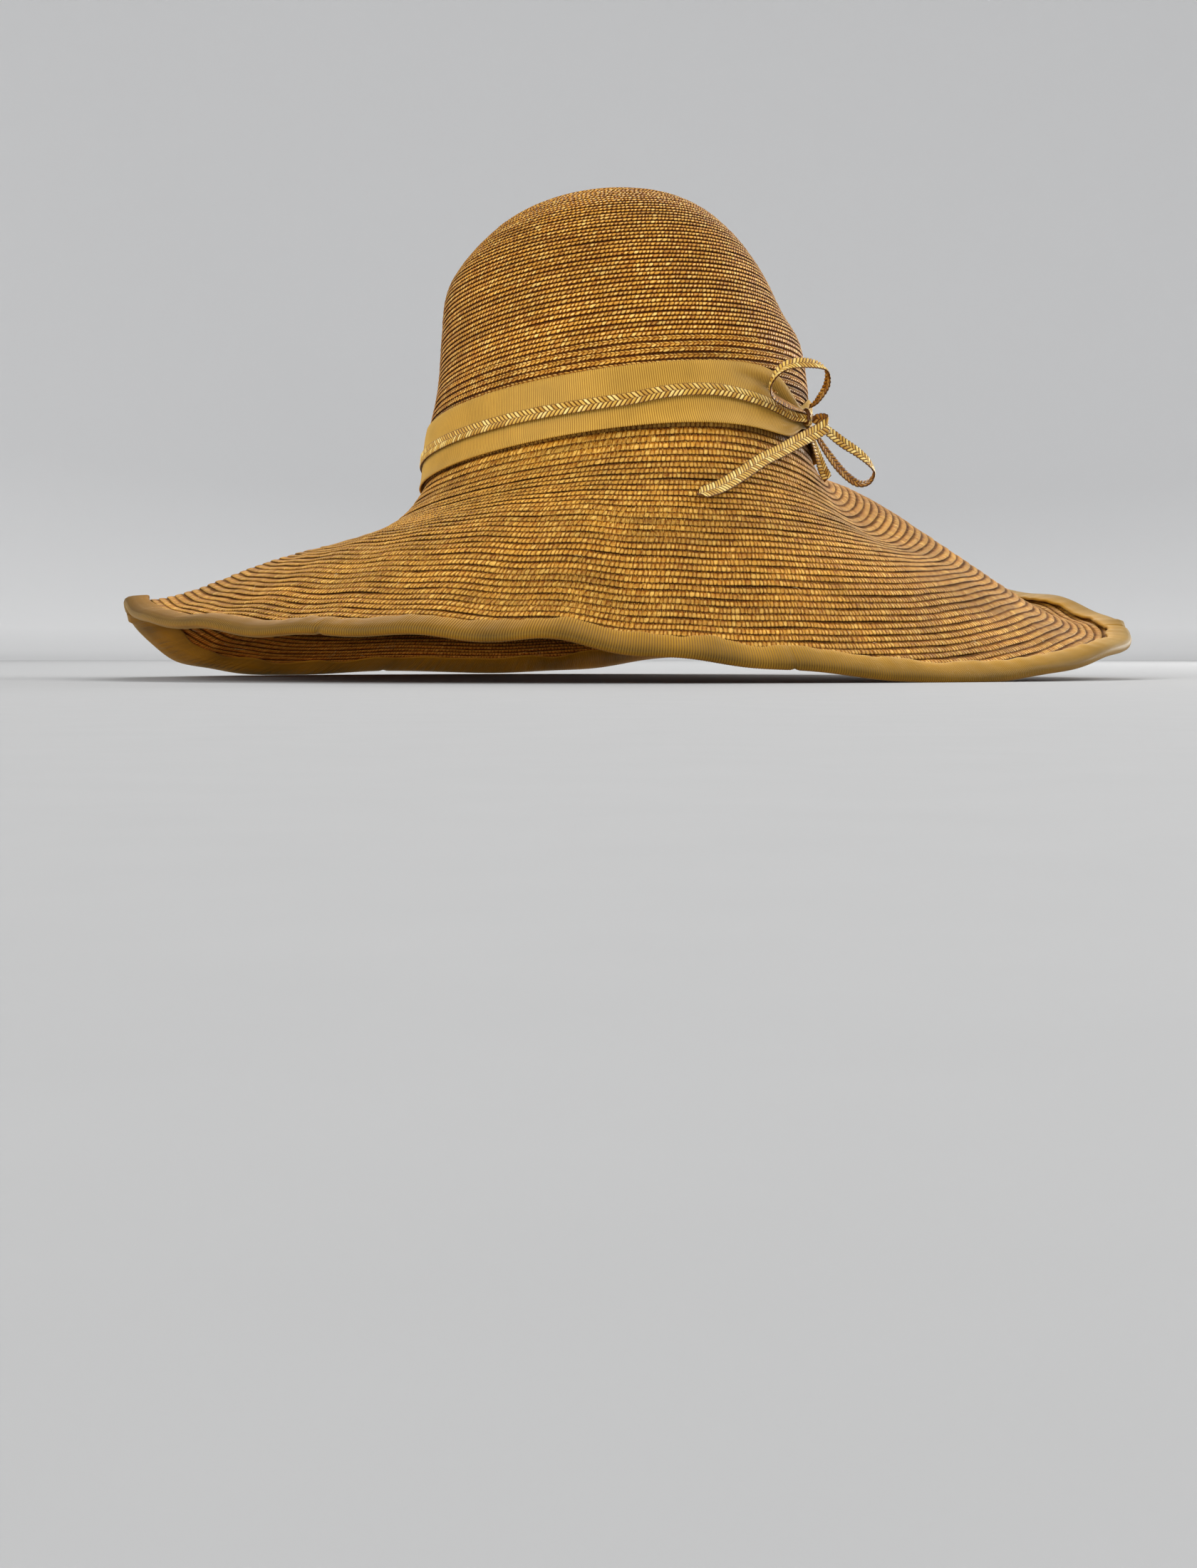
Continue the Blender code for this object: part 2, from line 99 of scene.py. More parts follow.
# Brim
RIM_RISE = 2.6
RIM = table(
    "angle radius height",
    (0, 205.0, 3.0),
    (9, 210.0, 0.0),
    (24, 221.0, 0.0),
    (40, 236.0, 8.5),
    (55, 246.0, 16.5),
    (70, 250.0, 26.6),
    (85, 246.0, 39.8),
    (100, 243.0, 46.0),
    (115, 234.0, 41.0),
    (130, 231.5, 26.7),
    (141, 232.5, 11.2),
    (155, 235.5, 4.5),
    (170, 240.0, 0.0),
    (187, 243.0, 1.8),
    (204, 243.5, 0.0),
    (220, 242.5, 4.5),
    (232, 243.0, 17.5),
    (243, 237.0, 28.5),
    (256, 232.5, 34.5),
    (270, 231.0, 26.7),
    (290, 223.0, 21.0),
    (310, 214.0, 18.7),
    (321, 208.5, 18.5),
    (335, 203.0, 12.0),
    (348, 202.0, 7.5),
)
BRIM_RUN = table(
    "angle slope inner_droop outer_droop",
    (0, 2.20, -3.0, 3.0),
    (45, 2.80, -3.2, 8.6),
    (90, 0.80, -5.3, 13.0),
    (135, 2.20, 15.2, 6.8),
    (180, 2.20, 2.0, 2.5),
    (225, 2.20, -2.5, 4.0),
    (270, 2.20, -4.0, 7.0),
    (315, 2.20, -7.0, 3.0),
)
TURN_TIGHTNESS = 4.35
COLLAR = 8.0
COLLAR_AT_KNOT = 5.0
COLLAR_SPREAD = 14.0
FLUTTER = 0.75
FLUTTER_WAVES = (10, 28)
FLUTTER_FADE = 12.0

# Bands
BAND = table(
    "angle top middle",
    (0, 29.5, 15.2),
    (12, 29.0, 12.3),
    (24, 27.0, 8.5),
    (34, 24.0, 5.2),
    (45, 21.5, 4.0),
    (60, 21.0, 4.5),
    (80, 24.0, 8.0),
    (105, 28.0, 12.0),
    (130, 29.0, 14.0),
    (180, 29.0, 14.0),
    (250, 29.0, 14.0),
    (300, 29.0, 13.5),
    (334, 29.3, 13.2),
    (348, 29.5, 15.4),
)
BAND_FOOT = 0.8
KNOT_ANGLE = 38.0
KNOT_HEIGHT = 8.0
PINCH = 0.62
PINCH_SPREAD = 9.0
KNOT_OUT = 5.0
KNOT_HALF_UP = 3.4
KNOT_HALF_OUT = 1.75

# Bow routes from the knot
BRAID = 5.2
TAIL_BRAID = 6.2
LOOP_EDGE = (0.92, 0.0, 0.39)
TAIL_EDGE = (0.0, 1.0, 0.0)
LOOP_UPPER = table(
    "forward up out twist width",
    (1.0, 4.4, 6.2, -35, 0.45),
    (3.5, 6.9, 11.0, -35, 0.80),
    (6.0, 13.0, 16.2, -30, 1.00),
    (10.0, 18.4, 17.6, 0, 1.00),
    (15.0, 20.8, 15.4, 45, 1.00),
    (24.0, 20.7, 10.0, 70, 1.00),
    (31.0, 18.6, 5.0, 60, 1.00),
    (35.5, 14.2, 1.6, 30, 1.00),
    (37.5, 8.5, -0.6, 0, 1.00),
    (35.0, 4.5, -0.2, -30, 1.00),
    (28.0, 2.6, 2.1, -45, 1.00),
    (19.0, 1.6, 4.2, -45, 0.90),
    (5.0, 1.4, 5.6, -40, 0.45),
)
LOOP_LOWER = table(
    "forward up out twist width",
    (-3.8, -0.6, 7.0, -60, 0.45),
    (-7.0, -6.2, 13.0, -70, 0.90),
    (-11.0, -11.4, 18.9, -70, 1.00),
    (-15.0, -15.5, 24.4, -60, 1.00),
    (-18.5, -19.8, 28.6, -40, 1.00),
    (-21.0, -24.6, 30.7, -5, 1.00),
    (-21.0, -28.8, 28.2, 25, 1.00),
    (-18.5, -29.6, 23.8, 45, 1.00),
    (-15.5, -26.5, 19.4, 50, 1.00),
    (-11.0, -20.8, 15.0, 50, 1.00),
    (-7.0, -13.0, 10.4, 45, 0.85),
    (-3.2, -5.4, 6.8, 35, 0.45),
)
TAIL_FRONT = table(
    "forward up out twist width",
    (0.8, -1.2, 7.6, 0, 0.50),
    (1.5, -1.6, 10.4, 0, 0.80),
    (3.0, -2.4, 13.6, 0, 0.95),
    (5.8, -4.6, 16.4, -4, 1.00),
    (9.4, -7.4, 14.8, -8, 1.00),
    (15.0, -10.4, 11.9, -16, 1.00),
    (26.0, -15.4, 7.6, -26, 1.00),
    (37.0, -20.4, 3.9, -32, 1.00),
    (51.0, -26.2, -0.6, -36, 1.00),
    (68.0, -34.5, -5.0, -36, 1.00),
    (83.0, -41.3, -9.4, -36, 1.00),
    (97.0, -46.0, -14.6, -36, 0.90),
)
TAIL_BACK = table(
    "forward up out twist width",
    (-3.6, -3.8, 4.8, 0, 0.45),
    (-8.0, -8.4, 4.6, -4, 0.75),
    (-13.0, -12.6, 4.8, -10, 0.95),
    (-18.0, -17.2, 5.0, -20, 1.00),
    (-23.0, -21.8, 5.4, -30, 1.00),
    (-28.0, -25.2, 6.2, -35, 1.00),
)
POINT_LENGTH = 4.5
POINT_WIDTH = 0.2

# Sewn rows of braid. Back is up the hat from a row's lower edge, as a share of
# the distance between rows, and off is out from the hat's surface. The first
# points run up the outside and the rest run back down the inside.
CROWN_PITCH = 2.3
BAND_PITCH = 2.9
BRIM_PITCH = 3.95
CROWN_STEP = 2.85
BRIM_STEP = 4.1
LEAST_STEP = 0.6
CROWN_START = 2.4
CROWN_PAST_END = 12.0
ROW_SECTION = table(
    "back off under fill",
    (0.00, -0.08, 0.0, 0.00),
    (0.12, 0.34, 0.0, -0.16),
    (0.50, 0.24, 0.0, 0.06),
    (0.88, -0.30, 0.0, 0.42),
    (1.60, -0.92, 0.5, 0.00),
    (1.50, -1.36, 1.0, 0.00),
    (1.05, -1.12, 1.0, 0.00),
    (0.62, -0.62, 1.0, 0.00),
    (0.08, -0.36, 0.5, 0.00),
)
ROW_WANDER = 0.045
WANDER_RUN = 21.0
JITTER_RUN = 6.0
ROW_LIFT = 0.022
LIFT_RUN = 33.0
ROW_TONE = 0.13
TONE_RUN = 47.0
EDGE_INSET = 2.0
EDGE_GAP = 0.5

# Where the braid is worn and its rows are blurred by loose fibre. Place is the
# distance out from the head line.
WORN = table(
    "angle spread place reach amount",
    (318.0, 34.0, 9.0, 13.0, 1.0),
    (336.0, 26.0, 62.0, 20.0, 0.9),
    (296.0, 22.0, 95.0, 34.0, 0.75),
    (327.0, 22.0, 112.0, 30.0, 0.78),
    (20.0, 22.0, 30.0, 14.0, 0.60),
    (200.0, 60.0, 90.0, 35.0, 0.55),
)
BRIM_WEAR = 0.46
CROWN_WEAR = 0.10
FILL_FROM = -0.40
FILL_BY_WEAR = 1.40
FILL_WANDER = 0.40
FILL_RUN = 7.0
# Painted shade over the whole brim, and a painted shadow of the lower band's foot with how far out it
# reaches
BRIM_PAINTED_SHADE = 0.16
FOOT_PAINTED_SHADE = 0.9
FOOT_SHADOW = 3.4
# Painted shade on the crown rows from the bands' top down
BAND_PAINTED_SHADE = 0.5
CROWN_SLANT = 1.45
BRIM_SLANT = 0.75
BEAD = 2.15
LARGE_BEAD = 2.2
BEAD_SPLIT = 0.46
LARGE_CELLS = 11.5
LARGE_FROM = 42.0

# Ribbed ribbons. Across runs from the lower edge up the face and back down the
# side that lies against the crown, and outer is how far a point is on the face.
RIB = 1.0
RIB_SAMPLES = 4
RIB_HEIGHT = 0.13
RIBBON_SECTION = table(
    "across outer",
    (0, 0.4), (0.03, 1), (0.14, 1), (0.26, 1), (0.38, 1), (0.5, 1), (0.62, 1), (0.70, 1),
    (0.77, 1), (0.86, 1), (0.97, 1), (1, 0.4), (0.97, 0), (0.5, 0), (0.03, 0),
)
RIBBON_LIFT = 0.55
RIBBON_BULGE = 0.25
RIBBON = 0.75
PICOT = 0.30
UPPER_REACH = (-0.9, -0.2)
LOWER_REACH = (0.2, 0.4)
OVERLAP_LIFT = 0.85
FOOT_FLARE = 2.5
FOOT_ANGLE = 355.0
FOOT_SPREAD = 45.0
FOLD_HEIGHT = 0.45
FOLD_SPREAD = 17.0
FOLD_PUFF = 1.5
FOLD_WIDTH = 0.14
# Painted shade in the upper band's fold
FOLD_SHADE = 0.20
# Painted shadow of the trim on the lower band, and its width
TRIM_SHADE = 0.32
TRIM_SHADOW = 1.5
# Painted shade on both bands towards the knot
KNOT_SHADE = 0.38
KNOT_SHADE_SPREAD = 7.0
FOLD = table(
    "angle share depth",
    (6.0, 0.66, 0.0),
    (14.0, 0.60, 1.2),
    (22.0, 0.50, 2.6),
    (30.0, 0.38, 3.2),
    (38.0, 0.32, 3.0),
    (46.0, 0.42, 1.8),
    (60.0, 0.60, 0.0),
)

# Binding section: along is outwards from the straw's edge, across is up, and light is painted light and
# shade, lighter along the top and darker round the outer fold
BINDING_TOP = 10.0
BINDING_DEPTH = 18.0
BINDING_RIB = 1.1
BINDING_SLANT = 0.12
RIM_STEP = 0.2
BINDING = table(
    "along across outer under light",
    (-10.0, 0.50, 1, 0, 0.60),
    (-9.9, 1.35, 1, 0, 1.00),
    (-9.0, 1.75, 1, 0, 0.90),
    (-6.2, 1.85, 1, 0, 0.45),
    (-2.8, 1.80, 1, 0, 0.14),
    (-0.4, 1.45, 1, 0, -0.12),
    (1.2, 0.55, 1, 0, -0.36),
    (1.75, -0.80, 1, 0, -0.08),
    (1.5, -2.10, 1, 1, -0.42),
    (0.3, -2.95, 1, 1, 0.05),
    (-3.0, -3.25, 1, 1, 0.00),
    (-6.0, -2.95, 1, 1, -0.08),
    (-11.0, -3.25, 1, 1, 0.00),
    (-17.3, -3.35, 1, 1, 0.10),
    (-18.0, -3.00, 1, 1, 0.15),
    (-17.8, -2.45, 0, 1, 0.00),
    (0.2, -2.20, 0, 1, 0.00),
    (0.3, 0.35, 0, 0, 0.00),
)
BINDING_WAVES = (22, 46)
SWAY = 0.75
SWAY_UNDER = 0.9
SWAY_UNDER_FROM = 6.0
PUCKER_WAVES = (80, 150)
PUCKER_DROP = 0.55
PUCKER_RIPPLE = 0.16
# Painted shade along the binding's waves and in its creases
WAVE_SHADE = 0.07
CREASE_SHADE = 0.22
CREASE = table(
    "angle depth spread",
    (247.0, 1.5, 0.55),
    (243.5, -0.8, 1.3),
    (64.0, 1.2, 0.40),
    (66.5, -0.9, 1.1),
    (356.0, 0.5, 0.35),
    (301.0, 0.6, 0.40),
    (128.0, 0.7, 0.45),
    (188.0, 0.5, 0.40),
)

# Plaited straw of the trim and the bow. A core is given by the heights of its
# upper and lower side.
TRIM_HALF = 2.75
TRIM_LIFT = 2.15
TRIM_PITCH = 2.15
TRIM_CORE = (0.3, -0.3)
KNOT_RISE = 2.9
KNOT_RISE_SPREAD = 5.0
KNOT_CORE = (0.2, -1.6)
LOOP_PITCH = 1.9
TAIL_PITCH = 2.1
STRAP_CORE = (0.12, -0.12)
CELL_HEIGHT = 0.5
CELL_GRID = 4
CORE_STEP = 1.5
CORE_HALF = 0.9

# Loose hairs
HAIRS = 150
HAIRS_BENEATH = 0.7
HAIR_STEPS = 5
HAIR_SIDES = 3
HAIR_RADIUS = 0.09
TOP_SIDE = 0.35
UNDERSIDE = -1.5

SEED = 11
NORMAL_STEP = 0.5
TURN = np.linspace(0, 360, 721)


def unit(vectors):
    return vectors / np.linalg.norm(vectors, axis=-1, keepdims=True)


def columns(*values):
    return np.stack(values, axis=-1)


def run_along(line):
    """Distance along a line from its first point to each of its points."""
    gaps = np.linalg.norm(np.diff(line, axis=0), axis=-1)
    return np.concatenate([0 * gaps[:1], np.cumsum(gaps, axis=0)])


def between(places, values, slopes, at):
    """Smooth curve through the values of a table."""
    row = np.clip(np.searchsorted(places, at, side="right") - 1, 0, len(places) - 2)
    span = places[row + 1] - places[row]
    t = np.clip((at - places[row]) / span, 0, 1)
    return (
        (2 * t**3 - 3 * t**2 + 1) * values[row]
        + (t**3 - 2 * t**2 + t) * slopes[row] * span
        + (3 * t**2 - 2 * t**3) * values[row + 1]
        + (t**3 - t**2) * slopes[row + 1] * span
    )


def around(rows, column, angle):
    """Column value at any angle, smooth all the way round."""
    places = np.concatenate([rows["angle"] - 360, rows["angle"], rows["angle"] + 360])
    values = np.tile(rows[column], 3)
    slopes = (np.roll(values, -1) - np.roll(values, 1)) / (np.roll(places, -1) - np.roll(places, 1))
    return between(places, values, slopes, np.mod(angle, 360))


def along(rows, column, place):
    """Column value at any place counted in rows of an open table."""
    values = rows[column]
    return between(np.arange(len(rows)), values, np.gradient(values), place)


def up_crown(rows, height):
    slopes = np.gradient(rows["change"], rows["height"])
    return between(rows["height"], rows["change"], slopes, height)


def bell(angle, middle, spread):
    """One at the middle angle, fading to nothing on both sides."""
    away = np.mod(angle - middle + 180, 360) - 180
    return np.exp(-((away / spread) ** 2))


def at_knot(spread, angle):
    return bell(angle, KNOT_ANGLE, spread)


def ring_noise(generator, angle, fewest, most):
    """Wandering value, about one in size, with fewest to most waves in a whole turn."""
    waves = np.arange(fewest, most)
    phases = generator.random(len(waves)) * 2 * np.pi
    return np.sin(np.radians(angle)[:, None] * waves + phases).sum(axis=1) / np.sqrt(len(waves) / 2)


def smooth_noise(generator, places, spacing):
    """Wandering value, about one in size, over places counted in millimetres."""
    knots = generator.standard_normal(int(places.max() / spacing) + 3)
    return np.interp(places / spacing, np.arange(len(knots)), knots)


def at_rest(x, y, z):
    """Crown coordinates turned by the hat's roll and lean, then set in place."""
    roll = np.radians(CROWN_ROLL)
    lean = np.radians(CROWN_LEAN)
    side = np.cos(roll) * x + np.sin(roll) * z
    rise = np.cos(roll) * z - np.sin(roll) * x
    back = np.cos(lean) * y + np.sin(lean) * rise
    top = np.cos(lean) * rise - np.sin(lean) * y
    return columns(side, back, top) + HEAD_CENTRE


def crown_form(height, narrowing, angle):
    """Point of the crown's surface, its narrowing to the dome given."""
    flare = 1 + CROWN_FLARE * (1 - np.minimum(height / CROWN_HEIGHT, 1)) ** 2
    change = up_crown(TUCK, height) * bell(angle, TUCK_ANGLE, TUCK_SPREAD)
    change = change + up_crown(WAIST, height) * bell(angle, WAIST_ANGLE, WAIST_SPREAD)
    change = change * np.minimum(narrowing * 2, 1)
    half_width = CROWN_HALF_WIDTH * narrowing * flare + change
    half_length = CROWN_HALF_LENGTH * narrowing * flare + change
    turn = np.radians(angle)
    return at_rest(half_width * np.sin(turn), -half_length * np.cos(turn), height)


def crown_point(height, angle):
    height, angle = np.broadcast_arrays(np.asarray(height, float), np.asarray(angle, float))
    share = np.clip(height / CROWN_HEIGHT, 0, 1)
    return crown_form(height, (1 - share**CROWN_DOME) ** (1 / CROWN_SHOULDER), angle)


def head_height(angle):
    return -DIP_DEPTH * bell(angle, DIP_ANGLE, DIP_SPREAD)


def collar_height(angle):
    return head_height(angle) + COLLAR + COLLAR_AT_KNOT * at_knot(COLLAR_SPREAD, angle)


RIM_FLUTTER = FLUTTER * ring_noise(np.random.default_rng(SEED + 1), TURN, *FLUTTER_WAVES)


def rim_point(angle):
    """Point of the rim, with its small ups and downs."""
    radius = around(RIM, "radius", angle)
    height = around(RIM, "height", angle) + RIM_RISE
    flutter = np.interp(np.mod(angle, 360), TURN, RIM_FLUTTER)
    height = height + flutter * np.clip(height / FLUTTER_FADE, 0, 1)
    turn = np.radians(angle)
    return columns(radius * np.sin(turn), -radius * np.cos(turn), height)


def brim_point(share, angle):
    """Upper surface of the brim, from the head line (share 0) to the rim (share 1)."""
    share, angle = np.broadcast_arrays(np.asarray(share, float), np.asarray(angle, float))
    head = crown_point(head_height(angle), angle)
    reach = rim_point(angle) - head
    run = np.hypot(reach[..., 0], reach[..., 1])
    fall = -reach[..., 2]
    extra = around(BRIM_RUN, "slope", angle) * run / fall - 1
    left = np.clip(1 - share, 0, 1)
    fallen = share * (1 + extra * left**TURN_TIGHTNESS)
    inner = around(BRIM_RUN, "inner_droop", angle) * (2 - 3 * share)
    outer = around(BRIM_RUN, "outer_droop", angle) * (3 * share - 1)
    droop = (inner + outer) * share * (1 - share) * 9 / 2
    points = head + reach * share[..., None]
    points[..., 2] = head[..., 2] - fall * fallen - droop
    return points


class CrownRun:
    """Crown surface by the distance down from its pole."""

    SAMPLES = 1500

    def __init__(self):
        from_pole = np.linspace(0, 1, self.SAMPLES) ** (CROWN_SHOULDER / 2) * np.pi / 2
        self.narrowing = np.sin(from_pole) ** (2 / CROWN_SHOULDER)
        self.height = CROWN_HEIGHT * np.cos(from_pole) ** (2 / CROWN_DOME)
        self.radius = CROWN_RADIUS * self.narrowing
        self.run = run_along(columns(self.height, self.radius))
        self.length = self.run[-1]

    def height_at(self, run):
        return np.interp(run, self.run, self.height) - np.maximum(run - self.length, 0)

    def point(self, run, angle):
        run, angle = np.broadcast_arrays(np.maximum(run, POLE_GAP), angle)
        return crown_form(self.height_at(run), np.interp(run, self.run, self.narrowing), angle)

    def radius_at(self, run):
        return np.interp(run, self.run, self.radius)

    def ends_at(self, angle):
        return POLE_GAP, self.length - collar_height(angle)

    def marks(self, place, angle):
        """Where cells are large, just above the bands, how worn the rows are, and the painted shade of the
        rows from the bands' top down.
        """
        above = self.height_at(place) - around(BAND, "top", angle)
        return above < LARGE_CELLS, CROWN_WEAR, BAND_PAINTED_SHADE * (above < 0.5)


class BrimRun:
    """Brim surface by the distance out from the head line; less than nothing is up the collar."""

    COLUMNS = 480
    SHARES = 240
    REACH = 220

    def __init__(self):
        self.angles = np.linspace(0, 360, self.COLUMNS + 1)
        shares = np.linspace(0, 1, self.SHARES)
        runs = run_along(brim_point(shares[:, None], self.angles))
        self.length = runs[-1]
        places = np.arange(self.REACH)
        self.share = np.stack([np.interp(places, run, shares) for run in runs.T])

    def length_at(self, angle):
        return np.interp(np.mod(angle, 360), self.angles, self.length)

    def share_at(self, place, angle):
        column = np.mod(angle, 360) * self.COLUMNS / 360
        left = np.minimum(column.astype(int), self.COLUMNS - 1)
        low = np.clip(place, 0, self.REACH - 1.001)
        down = low.astype(int)
        across = column - left
        beyond = low - down
        near = self.share[left, down] * (1 - across) + self.share[left + 1, down] * across
        far = self.share[left, down + 1] * (1 - across) + self.share[left + 1, down + 1] * across
        return near * (1 - beyond) + far * beyond

    def point(self, place, angle):
        place, angle = np.broadcast_arrays(np.asarray(place, float), np.asarray(angle, float))
        on_brim = brim_point(self.share_at(place, angle), angle)
        on_collar = crown_point(head_height(angle) - np.minimum(place, 0), angle)
        return np.where(place[..., None] < 0, on_collar, on_brim)

    def radius_at(self, place):
        return CROWN_RADIUS + np.maximum(place, 0)

    def ends_at(self, angle):
        return head_height(angle) - collar_height(angle), self.length_at(angle) - EDGE_INSET - EDGE_GAP

    def marks(self, place, angle):
        """No large cells, how worn the rows are, and painted shade over the brim, deepest as the painted
        shadow of the lower band's foot.
        """
        worn = BRIM_WEAR
        for row in WORN:
            near = np.exp(-(((place - row["place"]) / row["reach"]) ** 2))
            worn = np.maximum(worn, row["amount"] * near * bell(angle, row["angle"], row["spread"]))
        return 0, worn, BRIM_PAINTED_SHADE + FOOT_PAINTED_SHADE * np.clip(1 - place / FOOT_SHADOW, 0, 1)


def lifted(surface, place, angle, lift, climb=1.0):
    """Point of a surface, pushed off it along its normal. Climb is -1 where places run down."""
    upward = (surface(place + NORMAL_STEP, angle) - surface(place - NORMAL_STEP, angle)) * climb
    onward = surface(place, angle + NORMAL_STEP) - surface(place, angle - NORMAL_STEP)
    return surface(place, angle) + unit(np.cross(onward, upward)) * np.asarray(lift)[..., None]


def grid_faces(rows, count, wrap_rows, wrap_count):
    """Quads of a grid, with each corner's row, and its column before wrapping."""
    row, column = np.meshgrid(
        np.arange(rows if wrap_rows else rows - 1),
        np.arange(count if wrap_count else count - 1),
        indexing="ij",
    )
    corner_row = columns(row, row, row + 1, row + 1).reshape(-1, 4) % rows
    corner_column = columns(column, column + 1, column + 1, column).reshape(-1, 4)
    return corner_row * count + corner_column % count, corner_row, corner_column


def repeated(quads, copies, points_each):
    return (np.arange(copies)[:, None, None] * points_each + quads).reshape(-1, 4)


def add_object(name, data):
    added = bpy.data.objects.new(name, data)
    bpy.context.scene.collection.objects.link(added)
    return added


def make_piece(name, points, quads, uv, material, stands_for, attributes=None, flip=False):
    """Mesh object from points in millimetres, quads and a UV for every corner."""
    if flip:
        quads = quads[:, ::-1]
        uv = uv[:, ::-1]
    mesh = bpy.data.meshes.new(name)
    mesh.vertices.add(points.size // 3)
    mesh.vertices.foreach_set("co", ((points - ORIGIN) * METRES).astype(np.float32).ravel())
    mesh.loops.add(quads.size)
    mesh.loops.foreach_set("vertex_index", quads.astype(np.int32).ravel())
    mesh.polygons.add(len(quads))
    mesh.polygons.foreach_set("loop_start", np.arange(0, quads.size, 4, dtype=np.int32))
    layer = mesh.uv_layers.new(name="weave")
    layer.data.foreach_set("uv", uv.astype(np.float32).ravel())
    for attribute, values in (attributes or {}).items():
        made = mesh.attributes.new(attribute, "FLOAT", "POINT")
        values = np.broadcast_to(values, points.shape[:-1])
        made.data.foreach_set("value", values.astype(np.float32).ravel())
    mesh.update(calc_edges=True)
    mesh.validate()
    mesh.shade_smooth()
    mesh.materials.append(material)
    piece = add_object(name, mesh)
    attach(piece, BODY)
    if stands_for:
        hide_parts(*stands_for)


def spiral(surface, start, end, pitch, last_pitch, turn_over, step):
    """Angle, place, distance gone and pitch at each step of a spiral whose pitch changes once."""
    turns_before = max((turn_over - start) / pitch, 0)
    turns = turns_before + (end - max(turn_over, start)) / last_pitch
    fine = np.arange(0, turns * 360, 1.0)

    def place_at(angle):
        before = np.minimum(angle / 360, turns_before)
        return start + pitch * before + last_pitch * np.maximum(angle / 360 - turns_before, 0)

    def total(by_radian):
        return np.concatenate([[0], np.cumsum(np.radians(1.0) * by_radian[:-1])])

    radius = surface.radius_at(place_at(fine))
    count = total(radius / np.minimum(step, LEAST_STEP + radius / 4))
    angle = np.interp(np.arange(int(count[-1])), count, fine)
    gone = np.interp(angle, fine, total(radius))
    change = np.clip(angle / 360 - turns_before + 0.5, 0, 1)
    return angle, place_at(angle), gone, pitch + (last_pitch - pitch) * change


def straw_rows(name, surface, run, pitches, step, node, material):
    """Rows of braid sewn in a spiral, each row's lower edge lying over the next."""
    generator = np.random.default_rng(SEED + len(name))
    start, turn_over, end = run
    angle, place, gone, pitch = spiral(surface, start, end, *pitches, turn_over, step)
    wander = smooth_noise(generator, gone, WANDER_RUN) + smooth_noise(generator, gone, JITTER_RUN) / 2
    rise = ROW_LIFT * pitch * smooth_noise(generator, gone, LIFT_RUN)
    tone = 0.5 + ROW_TONE * smooth_noise(generator, gone, TONE_RUN)
    large, worn, shadow = surface.marks(place, angle)
    fill = FILL_FROM + FILL_BY_WEAR * worn + FILL_WANDER * smooth_noise(generator, gone, FILL_RUN)
    low, high = surface.ends_at(angle)
    section = ROW_SECTION[:, None]
    across = np.clip(place + ROW_WANDER * pitch * wander - section["back"] * pitch, low, high)
    off = section["off"] + rise + section["fill"] * np.clip(fill, 0, 1)
    points = lifted(surface.point, across, angle, off, climb=-1.0)
    quads, corner_row, corner_column = grid_faces(len(section), len(angle), True, False)
    shown = (place - 0.3 * pitch < high) & (place > low + 0.2 * pitch)
    kept = shown[corner_column[:, 0]] & shown[corner_column[:, 1]]
    uv = columns(gone[corner_column], ROW_SECTION["back"][corner_row])
    # Tone is the rows' random tone less their painted shade
    attributes = {"under": section["under"], "tone": tone - shadow, "large": large, "worn": worn}
    make_piece(name, points, quads[kept], uv[kept], material, [node], attributes, flip=True)


def pinched(height, angle):
    """Band height drawn in towards the knot."""
    return height + (KNOT_HEIGHT - height) * PINCH * at_knot(PINCH_SPREAD, angle)


def band_top(angle):
    return pinched(around(BAND, "top", angle), angle)


def band_middle(angle):
    return pinched(around(BAND, "middle", angle), angle)


def band_foot(angle):
    return pinched(head_height(angle) + BAND_FOOT, angle)


def even_turns(line, fineness, rib):
    """Angles evenly spaced along a closed line, and how far the ribs have turned at each."""
    fine = np.arange(0, 360 + fineness, fineness)
    run = run_along(line(fine))
    samples = np.arange(int(run[-1] / rib) * RIB_SAMPLES)
    angle = np.interp(samples * run[-1] / len(samples), run, fine)
    return angle, samples / RIB_SAMPLES * 2 * np.pi


def knot_fold(share, angle):
    """Depth of the soft fold that runs down the upper band to the knot."""
    middle = np.interp(angle, FOLD["angle"], FOLD["share"])
    depth = np.interp(angle, FOLD["angle"], FOLD["depth"])
    return depth * np.exp(-(((share - middle) / FOLD_WIDTH) ** 2))


def puff(share, angle):
    return FOLD_PUFF * at_knot(FOLD_SPREAD, angle) * np.sin(share * np.pi)


def upper_lift(share, angle):
    """The upper band stands off where it lies over the lower one, and folds at the knot."""
    return OVERLAP_LIFT * np.clip(1 - share * 2.5, 0, 1) + puff(share, angle) - knot_fold(share, angle)


def lower_lift(share, angle):
    """The lower band's foot stands off the hat, most at the front."""
    most = FOOT_FLARE * (0.45 + 0.55 * bell(angle, FOOT_ANGLE, FOOT_SPREAD))
    return most * np.clip(1 - share * 2.2, 0, 1) ** 1.6 + 0.6 * puff(share, angle)


def trim_painted_shadow(angle, height):
    """Painted shadow of the trim on the lower band, just below it."""
    below_trim = (band_middle(angle) - TRIM_HALF - height) / TRIM_SHADOW
    return TRIM_SHADE * np.clip(1 - np.abs(below_trim - 0.3), 0, 1)


